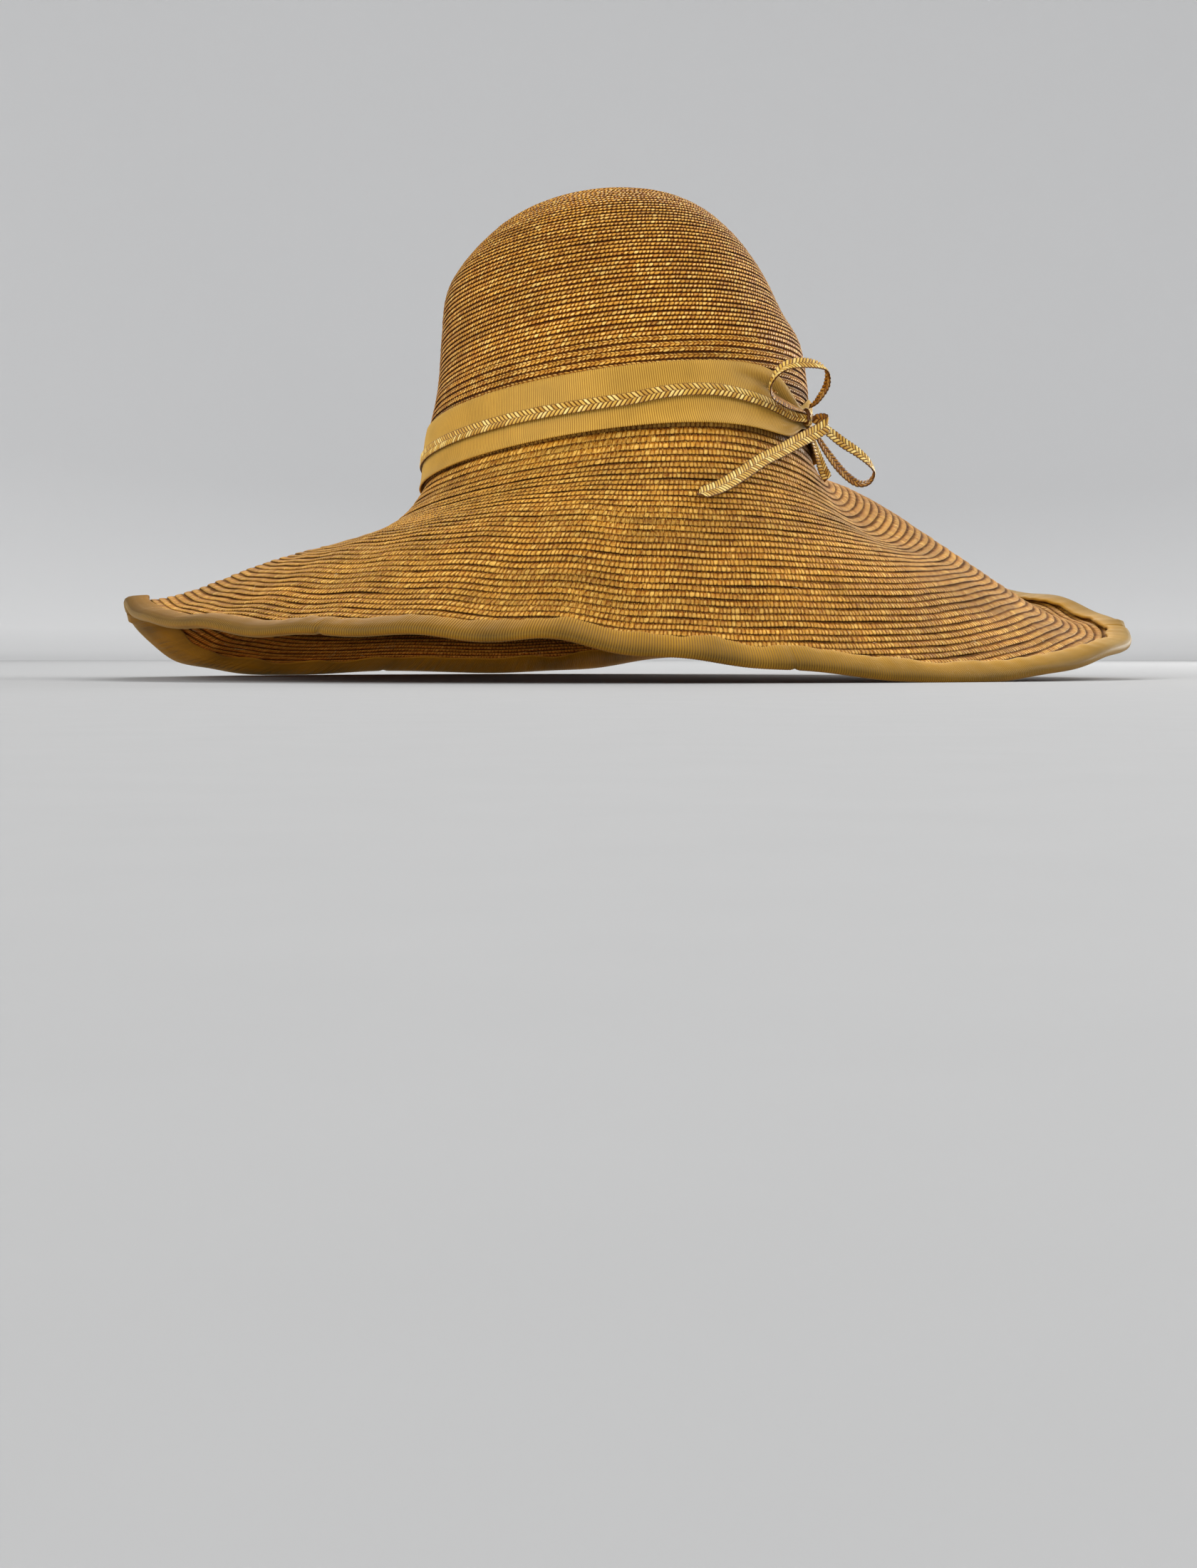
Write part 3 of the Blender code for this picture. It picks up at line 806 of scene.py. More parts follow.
def ribbon(name, low, high, reach, lift, node, material):
    """Ribbed ribbon round the crown, with small loops along both edges."""
    angle, phase = even_turns(lambda fine: crown_point(KNOT_HEIGHT, fine), 0.5, RIB)
    loop = PICOT * (1 + np.cos(phase)) / 2
    bottom = low(angle) + reach[0] - loop
    width = high(angle) + reach[1] + loop - bottom
    section = RIBBON_SECTION[:, None]
    share = section["across"]
    height = bottom + width * share
    bulge = np.sin(share * np.pi)
    gather = FOLD_HEIGHT * at_knot(FOLD_SPREAD, angle)
    folds = gather * (np.cos(share * 5 * np.pi) + 0.6 * np.cos(share * 2 * np.pi + angle / 7))
    rib = RIB_HEIGHT * np.cos(phase) * (0.5 + 0.5 * bulge**0.5)
    off = RIBBON_LIFT + section["outer"] * (RIBBON + rib) + folds + RIBBON_BULGE * bulge
    points = lifted(crown_point, height, angle, off + lift(share, angle))
    quads, corner_row, corner_column = grid_faces(len(section), len(angle), True, True)
    uv = columns(corner_column / RIB_SAMPLES, RIBBON_SECTION["across"][corner_row] * np.median(width))
    # Painted shade in the upper band's fold, or the trim's painted shadow on the lower band
    if node == "ribbon_upper":
        shade = FOLD_SHADE * knot_fold(share, angle)
    else:
        shade = trim_painted_shadow(angle, height)
    # Both bands also get painted shade towards the knot
    tone = 0.5 - shade - KNOT_SHADE * at_knot(KNOT_SHADE_SPREAD, angle)
    attributes = {"under": 0, "tone": tone}
    make_piece(name, points, quads, uv, material, [node], attributes, flip=True)


def straw_line(back, angle):
    """Line on the brim, a given distance back from its rim."""
    reach = np.linalg.norm(rim_point(angle) - brim_point(1 - RIM_STEP, angle), axis=-1) / RIM_STEP
    return brim_point(1 - back / reach, angle)


def binding(material):
    """Ribbed ribbon folded over the rim, puckered where its inner edge is gathered."""
    generator = np.random.default_rng(SEED + 5)
    angle, phase = even_turns(rim_point, 0.25, BINDING_RIB)
    edge = straw_line(EDGE_INSET, angle)
    covered = straw_line(EDGE_INSET + BINDING_DEPTH, angle)
    outward = unit(edge - covered)
    upward = unit(np.cross(outward, np.roll(edge, -1, axis=0) - np.roll(edge, 1, axis=0)))
    wave = ring_noise(generator, angle, *BINDING_WAVES)
    pucker = ring_noise(generator, angle, *PUCKER_WAVES)
    crease = sum(row["depth"] * bell(angle, row["angle"], row["spread"]) for row in CREASE)

    section = BINDING[:, None]
    under = section["under"]
    back = np.minimum(section["along"], 0.0)
    beyond = np.maximum(section["along"], 0.0)
    inner = np.clip(-back / BINDING_TOP, 0, 1)
    inner_under = np.clip((-back - SWAY_UNDER_FROM) / (BINDING_DEPTH - SWAY_UNDER_FROM), 0, 1)
    sway = np.where(under > 0, -SWAY_UNDER * wave * inner_under, SWAY * wave * inner)
    drop = -PUCKER_DROP * np.abs(pucker) * under * np.sin(np.clip(-back / BINDING_DEPTH, 0, 1) * np.pi)
    ripple = PUCKER_RIPPLE * pucker * section["outer"] * inner * (1 - under)
    rib = RIB_HEIGHT * np.cos(phase + BINDING_SLANT * back)
    swell = section["outer"] * (rib - crease * (1 - 0.6 * inner)) + ripple
    out = beyond - 0.7 * crease * (beyond > 0)
    up = section["across"] + drop + np.where(under > 0, -swell, swell)
    points = edge + (back + sway)[..., None] * (edge - covered) / BINDING_DEPTH
    points = points + out[..., None] * outward + up[..., None] * upward
    points[..., 2] = np.maximum(points[..., 2], ORIGIN[2])

    quads, corner_row, corner_column = grid_faces(len(section), len(angle), True, True)
    run = run_along(columns(BINDING["along"], BINDING["across"]))
    uv = columns(corner_column / RIB_SAMPLES, run[corner_row])
    # Painted light and shade: with the waves, in the creases and by the section's light column
    tone = 0.5 + WAVE_SHADE * wave - CREASE_SHADE * np.clip(crease, 0, 1) + section["light"]
    attributes = {"under": under, "tone": tone}
    nodes = ["rim_binding"]
    make_piece("binding_ribbon", points, quads, uv, material, nodes, attributes, flip=True)


def cell_field(count, pitch, lead, faces):
    """Places along, shares across, heights and faces of the pillow-shaped cells of a plait."""
    steps = np.linspace(0, 1, CELL_GRID + 1)
    inwards, onwards = np.meshgrid(steps, steps, indexing="ij")
    rounded = np.sqrt(np.clip(1 - (2 * onwards - 1) ** 2, 0, 1))
    ends = np.clip(1 - np.abs(2 * inwards - 1) ** 3, 0, 1) ** 0.5
    rise = rounded * (0.35 + 0.65 * ends) * (1 - 0.45 * inwards**3)
    taper = 0.62 + 0.38 * np.sin(np.pi * np.clip(0.12 + 0.8 * inwards, 0, 1))
    along_cell = (onwards - 0.5) * 1.02 * taper + lead * inwards
    across_cell = 1.04 - 1.12 * inwards
    starts = np.arange(count)[:, None, None]
    cells = []
    for face in faces:
        for column, shift in ((-1.0, 0.0), (1.0, 0.5)):
            at = (starts + 0.5 + shift + along_cell) * pitch
            cells.append(np.broadcast_arrays(at, column * across_cell, rise, face))
    return [np.concatenate(parts) for parts in zip(*cells)]


def core_strip(carrier, length, core, closed):
    """Closed strip under the cells, from the core's upper side down to its lower."""
    count = int(length / CORE_STEP) + 2
    steps = np.linspace(0, length, count, endpoint=not closed)
    upper, lower = core
    corners = ((-CORE_HALF, lower), (-CORE_HALF, upper), (CORE_HALF, upper), (CORE_HALF, lower))
    rows = [carrier(steps, share, 0.98 * off) for share, off in corners]
    quads, _, _ = grid_faces(4, count, True, closed)
    if not closed:
        first = np.arange(4) * count
        quads = np.concatenate([quads, [first[::-1], first + count - 1]])
    return np.concatenate(rows), quads


def plait(name, carrier, length, pitch, lead, faces, core, node, material, closed=False, inner=-1):
    """Plaited straw: rows of leaning cells over a flat core."""
    cell_count = int(length / pitch) - (0 if closed else 1)
    pitch = length / cell_count if closed else pitch
    place, share, lift, face = cell_field(cell_count, pitch, lead, faces)
    place = np.mod(place, length) if closed else np.clip(place, 0, length)
    points = carrier(place, share, face * (core[0] + lift * CELL_HEIGHT)).reshape(-1, 3)
    core_points, core_quads = core_strip(carrier, length, core, closed)

    count = len(place)
    size = (CELL_GRID + 1) ** 2
    quads, corner_row, corner_column = grid_faces(CELL_GRID + 1, CELL_GRID + 1, False, False)
    turned_over = np.repeat(face[:, 0, 0] * share[:, 0, 0] > 0, len(quads))
    uv = np.tile(columns(corner_row, corner_column) / CELL_GRID, (count, 1, 1))
    uv[turned_over] = uv[turned_over][:, ::-1]
    quads = repeated(quads, count, size)
    quads[turned_over] = quads[turned_over][:, ::-1]

    tone = np.repeat(np.random.default_rng(SEED + len(name)).random(count), size)
    # Inner faces of the loops and tails get painted shade, and the core half of it
    shaded = np.repeat(face[:, 0, 0] == inner, size)
    attributes = {
        "tone": np.append(tone, np.zeros(len(core_points))),
        "under": np.append(shaded, np.full(len(core_points), 0.5)),
    }
    points = np.concatenate([points, core_points])
    quads = np.concatenate([quads, core_quads + count * size])
    uv = np.concatenate([uv, np.zeros((len(core_quads), 4, 2))])
    make_piece(name, points, quads, uv, material, [node], attributes)


def trim_carrier():
    """Carrier of the trim round the crown, and its length."""
    run = run_along(lifted(crown_point, band_middle(TURN), TURN, TRIM_LIFT))

    def carrier(at, share, off):
        angle = np.interp(at, run, TURN)
        half = TRIM_HALF * (1 - 0.3 * at_knot(PINCH_SPREAD, angle))
        rise = KNOT_RISE * at_knot(KNOT_RISE_SPREAD, angle)
        return lifted(crown_point, band_middle(angle) + share * half, angle, TRIM_LIFT + rise + off)

    return carrier, run[-1]


def knot_frame():
    """Knot place and its directions: forward, up and out from the crown."""
    place = crown_point(KNOT_HEIGHT, KNOT_ANGLE)
    forward = unit(crown_point(KNOT_HEIGHT, KNOT_ANGLE - 1) - crown_point(KNOT_HEIGHT, KNOT_ANGLE + 1))
    rise = unit(crown_point(KNOT_HEIGHT + 1, KNOT_ANGLE) - crown_point(KNOT_HEIGHT - 1, KNOT_ANGLE))
    out = unit(np.cross(rise, forward))
    return place, np.stack([forward, np.cross(forward, out), out])


def turned(vectors, axes, degrees):
    angle = np.radians(degrees)[:, None]
    return np.cos(angle) * vectors + np.sin(angle) * np.cross(axes, vectors)


def strap_carrier(route, edge, braid, pointed):
    """Carrier of a flat braid that follows a route in the knot's directions, and its length."""
    place, axes = knot_frame()
    steps = np.linspace(0, len(route) - 1, (len(route) - 1) * 24 + 1)
    centre = columns(*(along(route, name, steps) for name in ("forward", "up", "out")))
    line = unit(np.gradient(centre, axis=0))
    side = unit(edge - line * np.sum(edge * line, axis=-1, keepdims=True))
    side = turned(side, line, along(route, "twist", steps))
    face = np.cross(line, side)
    run = run_along(centre)
    half = along(route, "width", steps) * braid / 2
    if pointed:
        half = half * np.clip((run[-1] - run) / POINT_LENGTH, POINT_WIDTH, 1)

    def read(values, at):
        return columns(*(np.interp(at, run, values[:, k]) for k in range(3)))

    def carrier(at, share, off):
        local = read(centre, at) + read(side, at) * (share * np.interp(at, run, half))[..., None]
        return place + (local + read(face, at) * np.asarray(off)[..., None]) @ axes

    return carrier, run[-1]


def knot_carrier():
    """Carrier of the short wrap round the pinched bands, and its length."""
    place, axes = knot_frame()
    turn = np.linspace(0, 2 * np.pi, 73)

    def ring(t):
        return columns(0 * t, KNOT_HALF_UP * np.sin(t), KNOT_OUT - KNOT_HALF_OUT * np.cos(t))

    run = run_along(ring(turn))

    def carrier(at, share, off):
        t = np.interp(at, run, turn)
        out = unit(columns(0 * t, np.sin(t) / KNOT_HALF_UP, -np.cos(t) / KNOT_HALF_OUT))
        local = ring(t) + out * np.asarray(off)[..., None]
        local[..., 0] += share * BRAID / 2
        return place + local @ axes

    return carrier, run[-1]


def stray_hairs(material, brim):
    """Loose straw hairs that stand off the brim near the binding, mostly beneath."""
    generator = np.random.default_rng(SEED + 9)
    angle = generator.random(HAIRS) * 360
    depth = 3.0 + 60 * generator.random(HAIRS) ** 2.2
    under = generator.random(HAIRS) < HAIRS_BENEATH
    length = 2.0 + 5.0 * generator.random(HAIRS) ** 1.5
    heading = generator.random(HAIRS)[:, None] * 2 * np.pi
    place = brim.length_at(angle) - EDGE_INSET - BINDING_DEPTH - depth
    start = np.where(under, UNDERSIDE, TOP_SIDE)
    base = lifted(brim.point, place, angle, start, climb=-1.0)
    above = lifted(brim.point, place, angle, start + np.where(under, -1.0, 1.0), climb=-1.0)
    normal = unit(above - base)
    side = unit(np.cross(normal, [0.3, 0.2, 1.0]))
    line = np.cos(heading) * side + np.sin(heading) * np.cross(normal, side)
    edgewise = np.cross(line, normal)
    curl = edgewise * generator.normal(0, 0.35, HAIRS)[:, None]

    steps = np.linspace(0, 1, HAIR_STEPS)[:, None]
    bow = 0.28 * np.sin(steps * 2.4)
    path = line[:, None] * steps + curl[:, None] * steps**2 + normal[:, None] * bow
    spine = base[:, None] + path * length[:, None, None]
    turn = np.linspace(0, 2 * np.pi, HAIR_SIDES, endpoint=False)[:, None]
    ring = np.cos(turn) * normal[:, None] + np.sin(turn) * unit(edgewise)[:, None]
    thick = HAIR_RADIUS * (1 - 0.7 * steps)
    points = spine[:, :, None] + ring[:, None] * thick[:, None]
    quads, corner_row, corner_column = grid_faces(HAIR_STEPS, HAIR_SIDES, False, True)
    uv = np.tile(columns(corner_row, corner_column) / 4, (HAIRS, 1, 1))
    quads = repeated(quads, HAIRS, HAIR_STEPS * HAIR_SIDES)
    make_piece("straw_hairs", points, quads, uv, material, [])


class Value:
    """A node's output. Plain arithmetic on it wires further nodes."""

    def __init__(self, wiring, socket):
        self.wiring = wiring
        self.socket = socket

    def __add__(self, other):
        return self.wiring.math("ADD", self, other)

    def __sub__(self, other):
        return self.wiring.math("SUBTRACT", self, other)

    def __rsub__(self, other):
        return self.wiring.math("SUBTRACT", other, self)

    def __mul__(self, other):
        return self.wiring.math("MULTIPLY", self, other)

    def __truediv__(self, other):
        return self.wiring.math("DIVIDE", self, other)

    def __gt__(self, other):
        return self.wiring.math("GREATER_THAN", self, other)


class Wiring:
    """Short names for wiring one material's nodes. A colour is a tuple of three."""

    def __init__(self, name):
        self.material = bpy.data.materials.new(name)
        self.material.use_nodes = True
        self.tree = self.material.node_tree
        self.shader = self.tree.nodes["Principled BSDF"]

    def feed(self, socket, given):
        if isinstance(given, Value):
            self.tree.links.new(given.socket, socket)
        else:
            socket.default_value = (*given, 1.0) if isinstance(given, tuple) else given

    def node(self, kind, inputs, output=0, **settings):
        made = self.tree.nodes.new("ShaderNode" + kind)
        for name, value in settings.items():
            setattr(made, name, value)
        for name, given in inputs.items():
            self.feed(made.inputs[name], given)
        return Value(self, made.outputs[output])

    def math(self, operation, *given, clamp=False):
        return self.node("Math", dict(enumerate(given)), operation=operation, use_clamp=clamp)

    def most(self, first, second):
        return self.math("MAXIMUM", first, second)

    def arch(self, value):
        """Nothing at 0 and 1, and one halfway between."""
        return value * (1.0 - value) * 4.0

    def mix(self, share, low, high, blend="MIX"):
        return self.node("Mix", {0: share, 6: low, 7: high}, 2, data_type="RGBA", blend_type=blend)

    def tint(self, colour, by, share=1.0):
        return self.mix(share, colour, by, "MULTIPLY")

    def choose(self, share, low, high):
        return self.node("Mix", {0: share, 2: low, 3: high}, data_type="FLOAT")

    def vector(self, x, y=0.0, z=0.0):
        return self.node("CombineXYZ", {0: x, 1: y, 2: z})

    def uv(self):
        source = self.node("UVMap", {}, uv_map="weave")
        return [self.node("SeparateXYZ", {0: source}, axis) for axis in (0, 1)]

    def attribute(self, name):
        return self.node("Attribute", {}, "Fac", attribute_name=name)

    def place(self):
        return self.node("TexCoord", {}, "Object")

    def noise(self, vector, detail, scale=1.0, roughness=0.5):
        inputs = {"Vector": vector, "Scale": scale, "Detail": detail, "Roughness": roughness}
        return self.node("TexNoise", inputs, "Fac")

    def random(self, *vector):
        inputs = {"Vector": self.vector(*vector)}
        return self.node("TexWhiteNoise", inputs, "Value", noise_dimensions="3D")

    def spread(self, value, low, high, to_low=0.0, to_high=1.0):
        """Value moved from one range to another and kept inside it."""
        return self.node("MapRange", dict(enumerate((value, low, high, to_low, to_high))), clamp=True)

    def ramp(self, value, *stops):
        made = self.node("ValToRGB", {0: value})
        elements = made.socket.node.color_ramp.elements
        while len(elements) < len(stops):
            elements.new(0.5)
        for element, (position, colour) in zip(elements, stops):
            element.position = position
            element.color = (*colour, 1.0)
        return made

    def set(self, **sockets):
        for name, value in sockets.items():
            self.feed(self.shader.inputs[name.replace("_", " ")], value)

    def bump(self, height, strength, distance):
        self.set(Normal=self.node("Bump", {"Strength": strength, "Distance": distance, "Height": height}))


def straw_material():
    """Braid of slanting strands like rows of beads: scalloped edges, gaps with painted shade, painted
    highlights, worn places.
    """
    w = Wiring("straw_rows")
    u, v = w.uv()
    worn = w.attribute("worn")
    beneath = w.attribute("under") > 0.6
    on_brim = worn > CROWN_WEAR + 0.1
    is_big = w.attribute("large") > 0.5

    # Beads: phase counts them along the row, and dome is how high one stands
    drift = w.noise(w.vector(u * 0.11), 2.0)
    ruffle = w.noise(w.vector(u * 0.55, v * 0.6, 7.0), 1.0)
    moved = u + (drift * 5.0 + ruffle)
    from_split = w.math("ABSOLUTE", v - BEAD_SPLIT)
    small = (moved - v * w.choose(on_brim, CROWN_SLANT, BRIM_SLANT)) / BEAD
    phase = w.choose(is_big, small, (moved + from_split * 2.9) / LARGE_BEAD)
    bead = w.math("FLOOR", phase)
    hump = w.arch(w.math("FRACT", phase))
    over_off = w.choose(is_big, (v - 0.34) / 0.46, (from_split - 0.22) / 0.25)
    off = w.choose(beneath, over_off, (v - 1.20) / 0.46)
    dome = w.math("MULTIPLY", hump, 1.0 - off * off, clamp=True)
    colour = w.ramp(
        w.random(bead, (v > BEAD_SPLIT) * is_big, beneath),
        (0.0, (0.370, 0.130, 0.008)),
        (0.35, (0.500, 0.205, 0.014)),
        (0.85, (0.630, 0.300, 0.030)),
        (0.98, (0.880, 0.550, 0.140)),
    )
    fibre = w.noise(w.vector(phase * 9.0, v * 2.0), 2.0)
    colour = w.mix(w.spread(fibre, 0.42, 0.70, 0.0, 0.40), colour, (0.28, 0.095, 0.008))
    # Painted shade in the hollows round each bead, and a painted highlight on its top
    colour = w.mix(w.spread(dome, 0.58, 0.06) * 0.90, colour, (0.120, 0.022, 0.0015))
    glint = w.spread(w.random(bead, 3.0), 0.25, 1.0, 0.20, 0.95)
    colour = w.mix(w.spread(dome, 0.60, 0.96) * glint, colour, (0.950, 0.610, 0.190))

    # Painted shade in the gaps between the rows and between the strand ends, filled here and there where the
    # braid is worn
    pinch = (1.0 - hump) * 0.14
    ragged = v + (ruffle - 0.5) * 0.14
    over_gap_shade = w.most(w.spread(ragged + pinch, 0.74, 0.86), w.spread(ragged - pinch, 0.05, -0.01))
    gap_shade = w.choose(beneath, over_gap_shade, w.spread(ragged, 0.92, 0.72))
    fleck = w.noise(w.vector(u * 1.9, v * 1.8), 3.0, roughness=0.65)
    dash = w.noise(w.vector(u * 0.24, 0.0, 5.0), 1.0)
    filled = w.most(w.spread(fleck, 0.40, 0.60), w.spread(dash, 0.50, 0.58))
    gap_shade = gap_shade * (1.0 - worn * filled * 0.95)
    colour = w.mix(gap_shade * 0.94, colour, (0.062, 0.011, 0.0015))

    # Loose fibre, and a painted highlight along the lower edges of the rows, on the brim where the wear
    # value is high
    loose = w.spread(worn, 0.0, 1.0, 0.0, 0.88) * w.spread(fleck, 0.42, 0.60)
    specks = w.ramp(
        w.noise(w.vector(u * 1.5, v, 9.0), 1.0),
        (0.38, (0.250, 0.085, 0.006)),
        (0.50, (0.560, 0.270, 0.026)),
        (0.62, (0.960, 0.620, 0.150)),
    )
    colour = w.mix(loose, colour, specks)
    edge = w.spread(v, 0.22, 0.08) * w.spread(worn, 0.15, 0.40, 0.0, 0.38)
    colour = w.mix(edge * (1.0 - w.most(gap_shade, beneath)), colour, (0.930, 0.590, 0.150))

    # Paler and darker stretches, and the painted shade that tone carries
    patch = w.noise(w.place(), 3.0, 34.0)
    streak = w.noise(w.vector(u * 0.05, v * 0.7, 3.0), 3.0)
    level = w.spread(patch, 0.3, 0.7, 0.86, 1.14) * w.spread(streak, 0.3, 0.7, 0.88, 1.12)
    colour = w.tint(colour, w.most(level + (w.attribute("tone") * 0.6 - 0.3), 0.12))
    colour = w.tint(colour, (0.98, 0.91, 0.72), on_brim)
    # The redder side that faces the head is brightened as painted light, for lying in shade, with a painted
    # highlight on its row lips
    underside_lip_highlight = w.spread(v, 1.34, 1.50) * w.spread(hump, 0.2, 0.7, 0.25, 1.0)
    painted_lit_underside = w.mix(underside_lip_highlight * 0.60, w.tint(colour, (1.60, 1.12, 0.90)), (0.720, 0.340, 0.050))
    w.set(Base_Color=w.mix(beneath, colour, painted_lit_underside), Roughness=w.spread(dome, 0.0, 1.0, 0.95, 0.36))
    w.set(Specular_IOR_Level=0.33, Specular_Tint=(1.0, 0.62, 0.32))
    w.bump(w.math("POWER", dome, 0.6) + fibre * 0.25 - gap_shade * 0.7 + loose * 0.7, 0.9, 0.0006)
    return w.material


def ribbon_material(name, face, gap, beneath, slant):
    """Ribbed ribbon: ribs across it, a fine weft between them and a soft sheen."""
    w = Wiring(name)
    u, v = w.uv()
    ribs = w.math("COSINE", (u + v * slant) * (2 * np.pi))
    rib_trough_shade = w.spread(ribs, 0.15, -0.85)
    weft = w.noise(w.vector(u * 0.7, v * 5.5), 2.0)
    wear = w.noise(w.place(), 4.0, 55.0, 0.6)
    colour = w.mix(w.spread(weft, 0.35, 0.75, 0.0, 0.5), face, tuple(0.82 * part for part in face))
    # Painted shade in the troughs between the ribs
    colour = w.mix(rib_trough_shade * 0.75, colour, gap)
    # On the binding's underside, where under is set, the beneath colour is used: the rim's is a brighter
    # copy, painted light for a side that lies in shade
    colour = w.mix(w.attribute("under"), colour, w.mix(rib_trough_shade * 0.25, beneath, gap))
    # Tone brings the bands' painted shade and the binding's painted light and shade
    colour = w.tint(colour, w.spread(wear, 0.3, 0.7, 0.88, 1.10) + (w.attribute("tone") - 0.5))
    w.set(Base_Color=colour, Roughness=0.56, Sheen_Weight=0.2, Sheen_Roughness=0.4)
    w.set(Sheen_Tint=(1.0, 0.80, 0.38), Specular_IOR_Level=0.35, Specular_Tint=(1.0, 0.84, 0.48))
    w.bump(ribs + weft * 0.5, 0.35, 0.0002)
    return w.material


def plait_material():
    """Split straw laid flat: pale glossy cells with brown outlines and fine streaks."""
    w = Wiring("plaited_straw")
    a, b = w.uv()
    tone = w.attribute("tone")
    near_side = w.arch(b)
    outline = w.most(w.spread(near_side, 0.80, 0.34), w.spread(w.arch(a), 0.56, 0.12))
    streak = w.noise(w.vector(a * 1.5, b * 9.0, tone * 40.0), 3.0)
    colour = w.ramp(
        tone,
        (0.0, (0.440, 0.220, 0.022)),
        (0.5, (0.720, 0.440, 0.070)),
        (1.0, (0.980, 0.760, 0.270)),
    )
    colour = w.mix(w.spread(streak, 0.42, 0.7, 0.0, 0.55), colour, (0.42, 0.22, 0.03))
    colour = w.mix(outline * 0.95, colour, (0.110, 0.032, 0.003))
    # Painted shade on the inner faces of the loops and tails, and half of it on the core
    colour = w.tint(colour, (0.64, 0.45, 0.28), w.attribute("under"))
    w.set(Base_Color=colour, Roughness=w.spread(streak, 0.3, 0.7, 0.34, 0.55))
    w.set(Specular_IOR_Level=0.5, Specular_Tint=(1.0, 0.86, 0.60))
    w.bump(near_side + streak * 0.4, 0.4, 0.0003)
    return w.material


def hair_material():
    w = Wiring("straw_hair")
    shade = w.noise(w.place(), 1.0, 300.0)
    w.set(Base_Color=w.mix(shade, (0.55, 0.36, 0.12), (0.90, 0.74, 0.42)), Roughness=0.45)
    return w.material


def stage_material():
    """Plain matt paper, paler where it bends up far behind the hat."""
    w = Wiring("pale_stage")
    away = w.node("VectorMath", {0: w.place()}, "Value", operation="LENGTH")
    colour = w.mix(w.noise(w.place(), 2.0, 60.0), (0.375, 0.378, 0.382), (0.395, 0.398, 0.402))
    colour = w.mix(w.spread(away, 0.8, 3.1), colour, (0.410, 0.413, 0.417))
    colour = w.mix(w.spread(away, 2.9, 3.7), colour, (0.74, 0.743, 0.747))
    w.set(Base_Color=colour, Roughness=0.9, Specular_IOR_Level=0.2)
    return w.material


def build_hat():
    """Every visible piece of the hat."""
    crown = CrownRun()
    brim = BrimRun()
    straw = straw_material()
    band = ribbon_material(
        "ribbed_band", (0.535, 0.300, 0.046), (0.180, 0.070, 0.004), (0.28, 0.13, 0.015), 0.0
    )
    # The rim's beneath colour is brighter than its face: painted light for the binding's shaded underside
    rim = ribbon_material(
        "ribbed_rim", (0.245, 0.122, 0.007), (0.085, 0.029, 0.001), (0.420, 0.172, 0.009), 0.03
    )
    plaited = plait_material()

    crown_run = (CROWN_START, crown.length - LARGE_FROM, crown.length + CROWN_PAST_END)
    brim_run = (-COLLAR, -COLLAR, float(brim.length.max()) + BRIM_PITCH)
    straw_rows("crown_rows", crown, crown_run, (CROWN_PITCH, BAND_PITCH), CROWN_STEP, "crown", straw)
    straw_rows("brim_rows", brim, brim_run, (BRIM_PITCH, BRIM_PITCH), BRIM_STEP, "brim", straw)
    ribbon("ribbon_upper_weave", band_middle, band_top, UPPER_REACH, upper_lift, "ribbon_upper", band)
    ribbon("ribbon_lower_weave", band_foot, band_middle, LOWER_REACH, lower_lift, "ribbon_lower", band)
    binding(rim)

    carrier, length = trim_carrier()
    plait("trim_plait", carrier, length, TRIM_PITCH, 1.15, (1,), TRIM_CORE, "braid_trim", plaited, True)
    carrier, length = knot_carrier()
    plait("knot_plait", carrier, length, LOOP_PITCH, 0.9, (1,), KNOT_CORE, "bow_knot", plaited, True)
    straps = (
        ("loop_upper_plait", LOOP_UPPER, LOOP_EDGE, BRAID, LOOP_PITCH, "bow_loop_upper", 1),
        ("loop_lower_plait", LOOP_LOWER, LOOP_EDGE, BRAID, LOOP_PITCH, "bow_loop_lower", -1),
        ("tail_front_plait", TAIL_FRONT, TAIL_EDGE, TAIL_BRAID, TAIL_PITCH, "bow_tail_front", -1),
        ("tail_back_plait", TAIL_BACK, TAIL_EDGE, BRAID, LOOP_PITCH, "bow_tail_back", 1),
    )
    for name, route, edge, braid, pitch, node, inner in straps:
        carrier, length = strap_carrier(route, edge, braid, node == "bow_tail_front")
        plait(name, carrier, length, pitch, 1.0, (1, -1), STRAP_CORE, node, plaited, inner=inner)
    stray_hairs(hair_material(), brim)


def make_stage():
    """Pale floor that curves up into a plain backdrop all round, in metres."""
    flat = 3.2
    bend = 2.0
    wall = 3.0
    count = 96
    inner = [0.02, 0.4, 1.0, 2.0]
    rise = np.linspace(0, np.pi / 2, 13)
    radius = np.concatenate([inner, flat + bend * np.sin(rise), [flat + bend]])[:, None]
    height = np.concatenate([[0] * len(inner), bend * (1 - np.cos(rise)), [bend + wall]])[:, None]
    turn = np.arange(count) * 2 * np.pi / count
    points = columns(radius * np.cos(turn), radius * np.sin(turn), height + 0 * turn).reshape(-1, 3)
    quads, _, _ = grid_faces(len(radius), count, False, True)
    mesh = bpy.data.meshes.new("stage_floor")
    mesh.from_pydata(points.tolist(), [], quads[:, ::-1].tolist() + [list(range(count))])
    mesh.update()
    mesh.shade_smooth()
    mesh.materials.append(stage_material())
    floor = add_object("stage_floor", mesh)


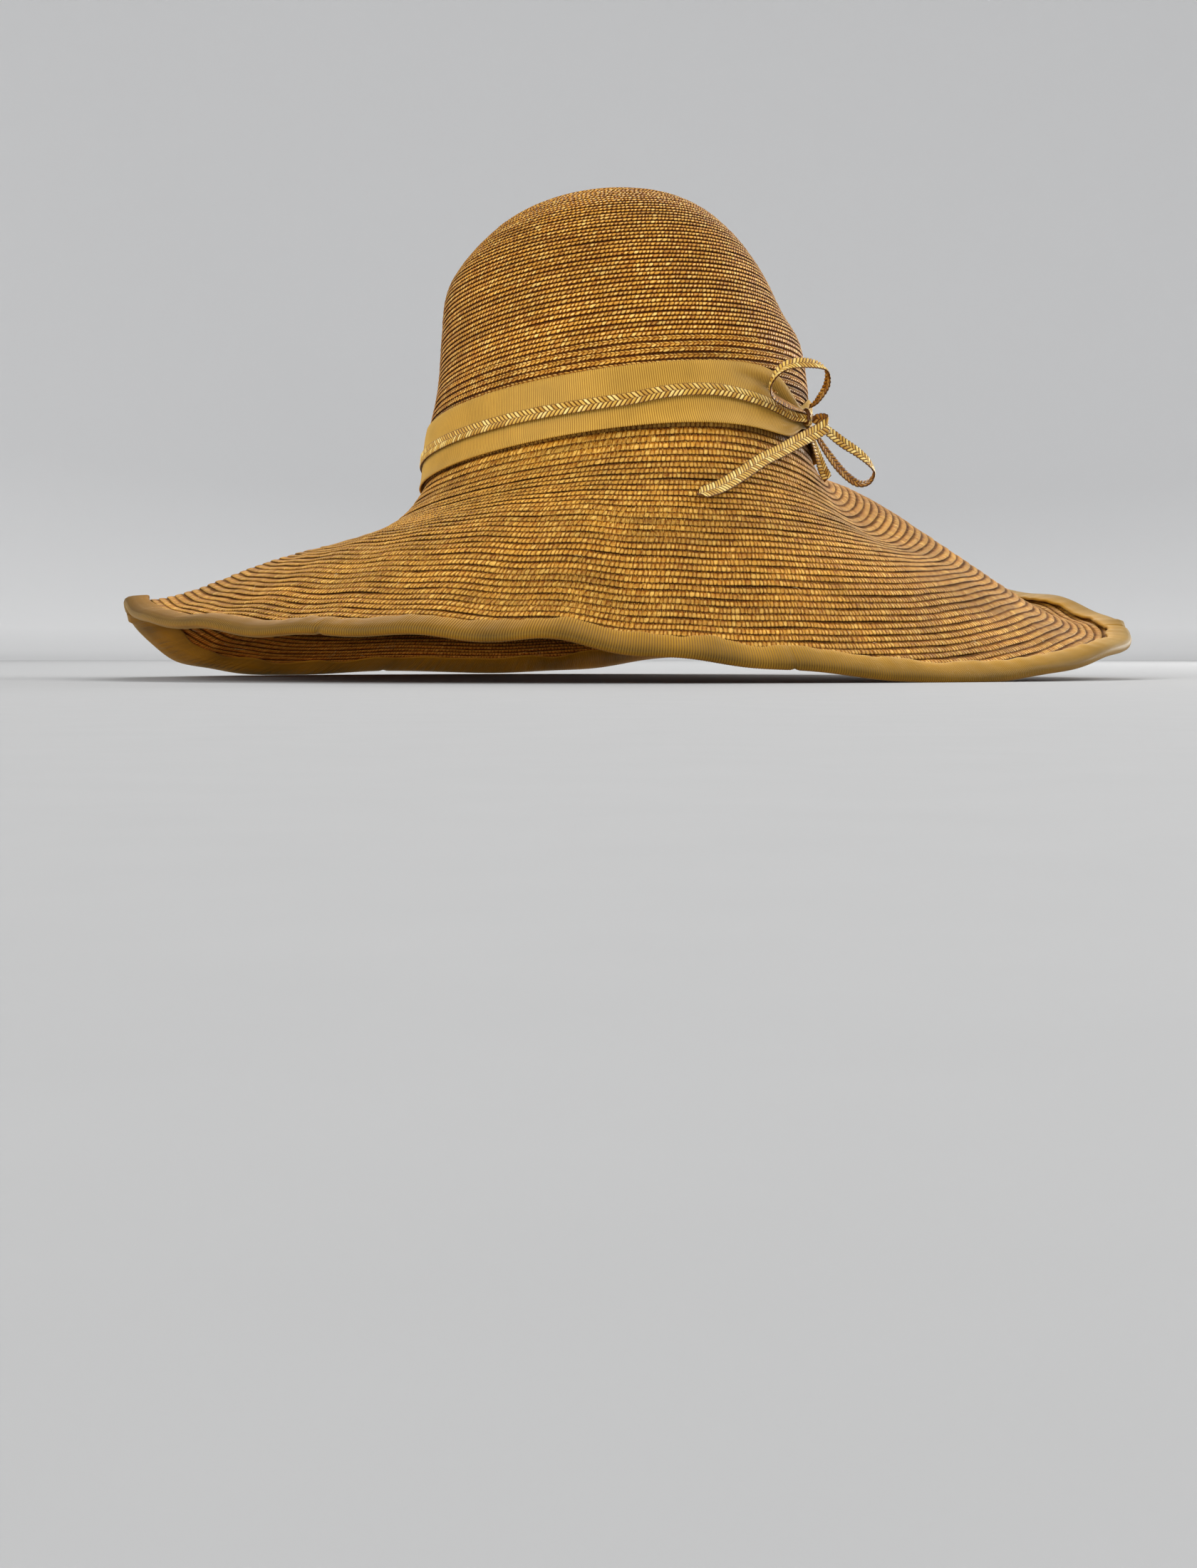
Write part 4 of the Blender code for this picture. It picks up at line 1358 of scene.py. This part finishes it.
def aimed(name, data, place, direction):
    """Light or camera at a place, looking in a direction."""
    holder = add_object(name, data)
    holder.location = place
    holder.rotation_euler = direction.to_track_quat("-Z", "Y").to_euler()
    return holder


def area_light(name, place, target, size, energy, colour):
    """Rectangular soft light, its size given across and up."""
    light = bpy.data.lights.new(name, "AREA")
    light.shape = "RECTANGLE"
    light.size, light.size_y = size
    light.energy = energy
    light.color = colour
    aimed(name, light, place, Vector(target) - Vector(place))


def make_lights():
    """Soft lights from both sides and behind, and two low ones for the right and the underside."""
    middle = (0.0, 0.0, 0.10)
    area_light("right_light", (2.0, -1.2, 2.0), middle, (1.5, 1.5), 40.0, (1.0, 0.985, 0.96))
    area_light("left_light", (-3.0, -0.6, 1.9), middle, (2.2, 2.2), 80.0, (1.0, 0.99, 0.98))
    area_light("back_light", (1.1, 2.0, 2.4), middle, (1.6, 1.6), 48.0, (1.0, 0.99, 0.97))
    area_light("side_light", (2.3, 0.6, 0.6), (0.05, 0.0, 0.14), (0.8, 0.7), 28.0, (1.0, 0.99, 0.97))
    area_light("floor_light", (-0.78, -1.68, 0.022), (0.0, 0.0, 0.024), (0.8, 0.03), 11.0, (1.0, 0.98, 0.95))
    world = bpy.data.worlds.new("studio")
    world.use_nodes = True
    background = world.node_tree.nodes["Background"]
    background.inputs["Color"].default_value = (0.90, 0.91, 0.93, 1)
    background.inputs["Strength"].default_value = 0.62
    bpy.context.scene.world = world


def make_camera():
    """Camera at the photo's direction and distance, kept just above the floor."""
    lens_for_long_side = 51.97
    heading = np.radians(25.0)
    pitch = np.radians(-3.3)
    camera_data = bpy.data.cameras.new("photo_camera")
    camera_data.sensor_width = 36.0
    camera_data.lens = lens_for_long_side
    camera_data.clip_start = 0.005
    aim = Vector((np.sin(heading) * np.cos(pitch), np.cos(heading) * np.cos(pitch), np.sin(pitch)))
    bpy.context.scene.camera = aimed("photo_camera", camera_data, (-0.4793, -1.0133, 0.012), aim)
    bpy.context.scene.view_settings.view_transform = "Standard"


build_hat()
make_stage()
make_lights()
make_camera()
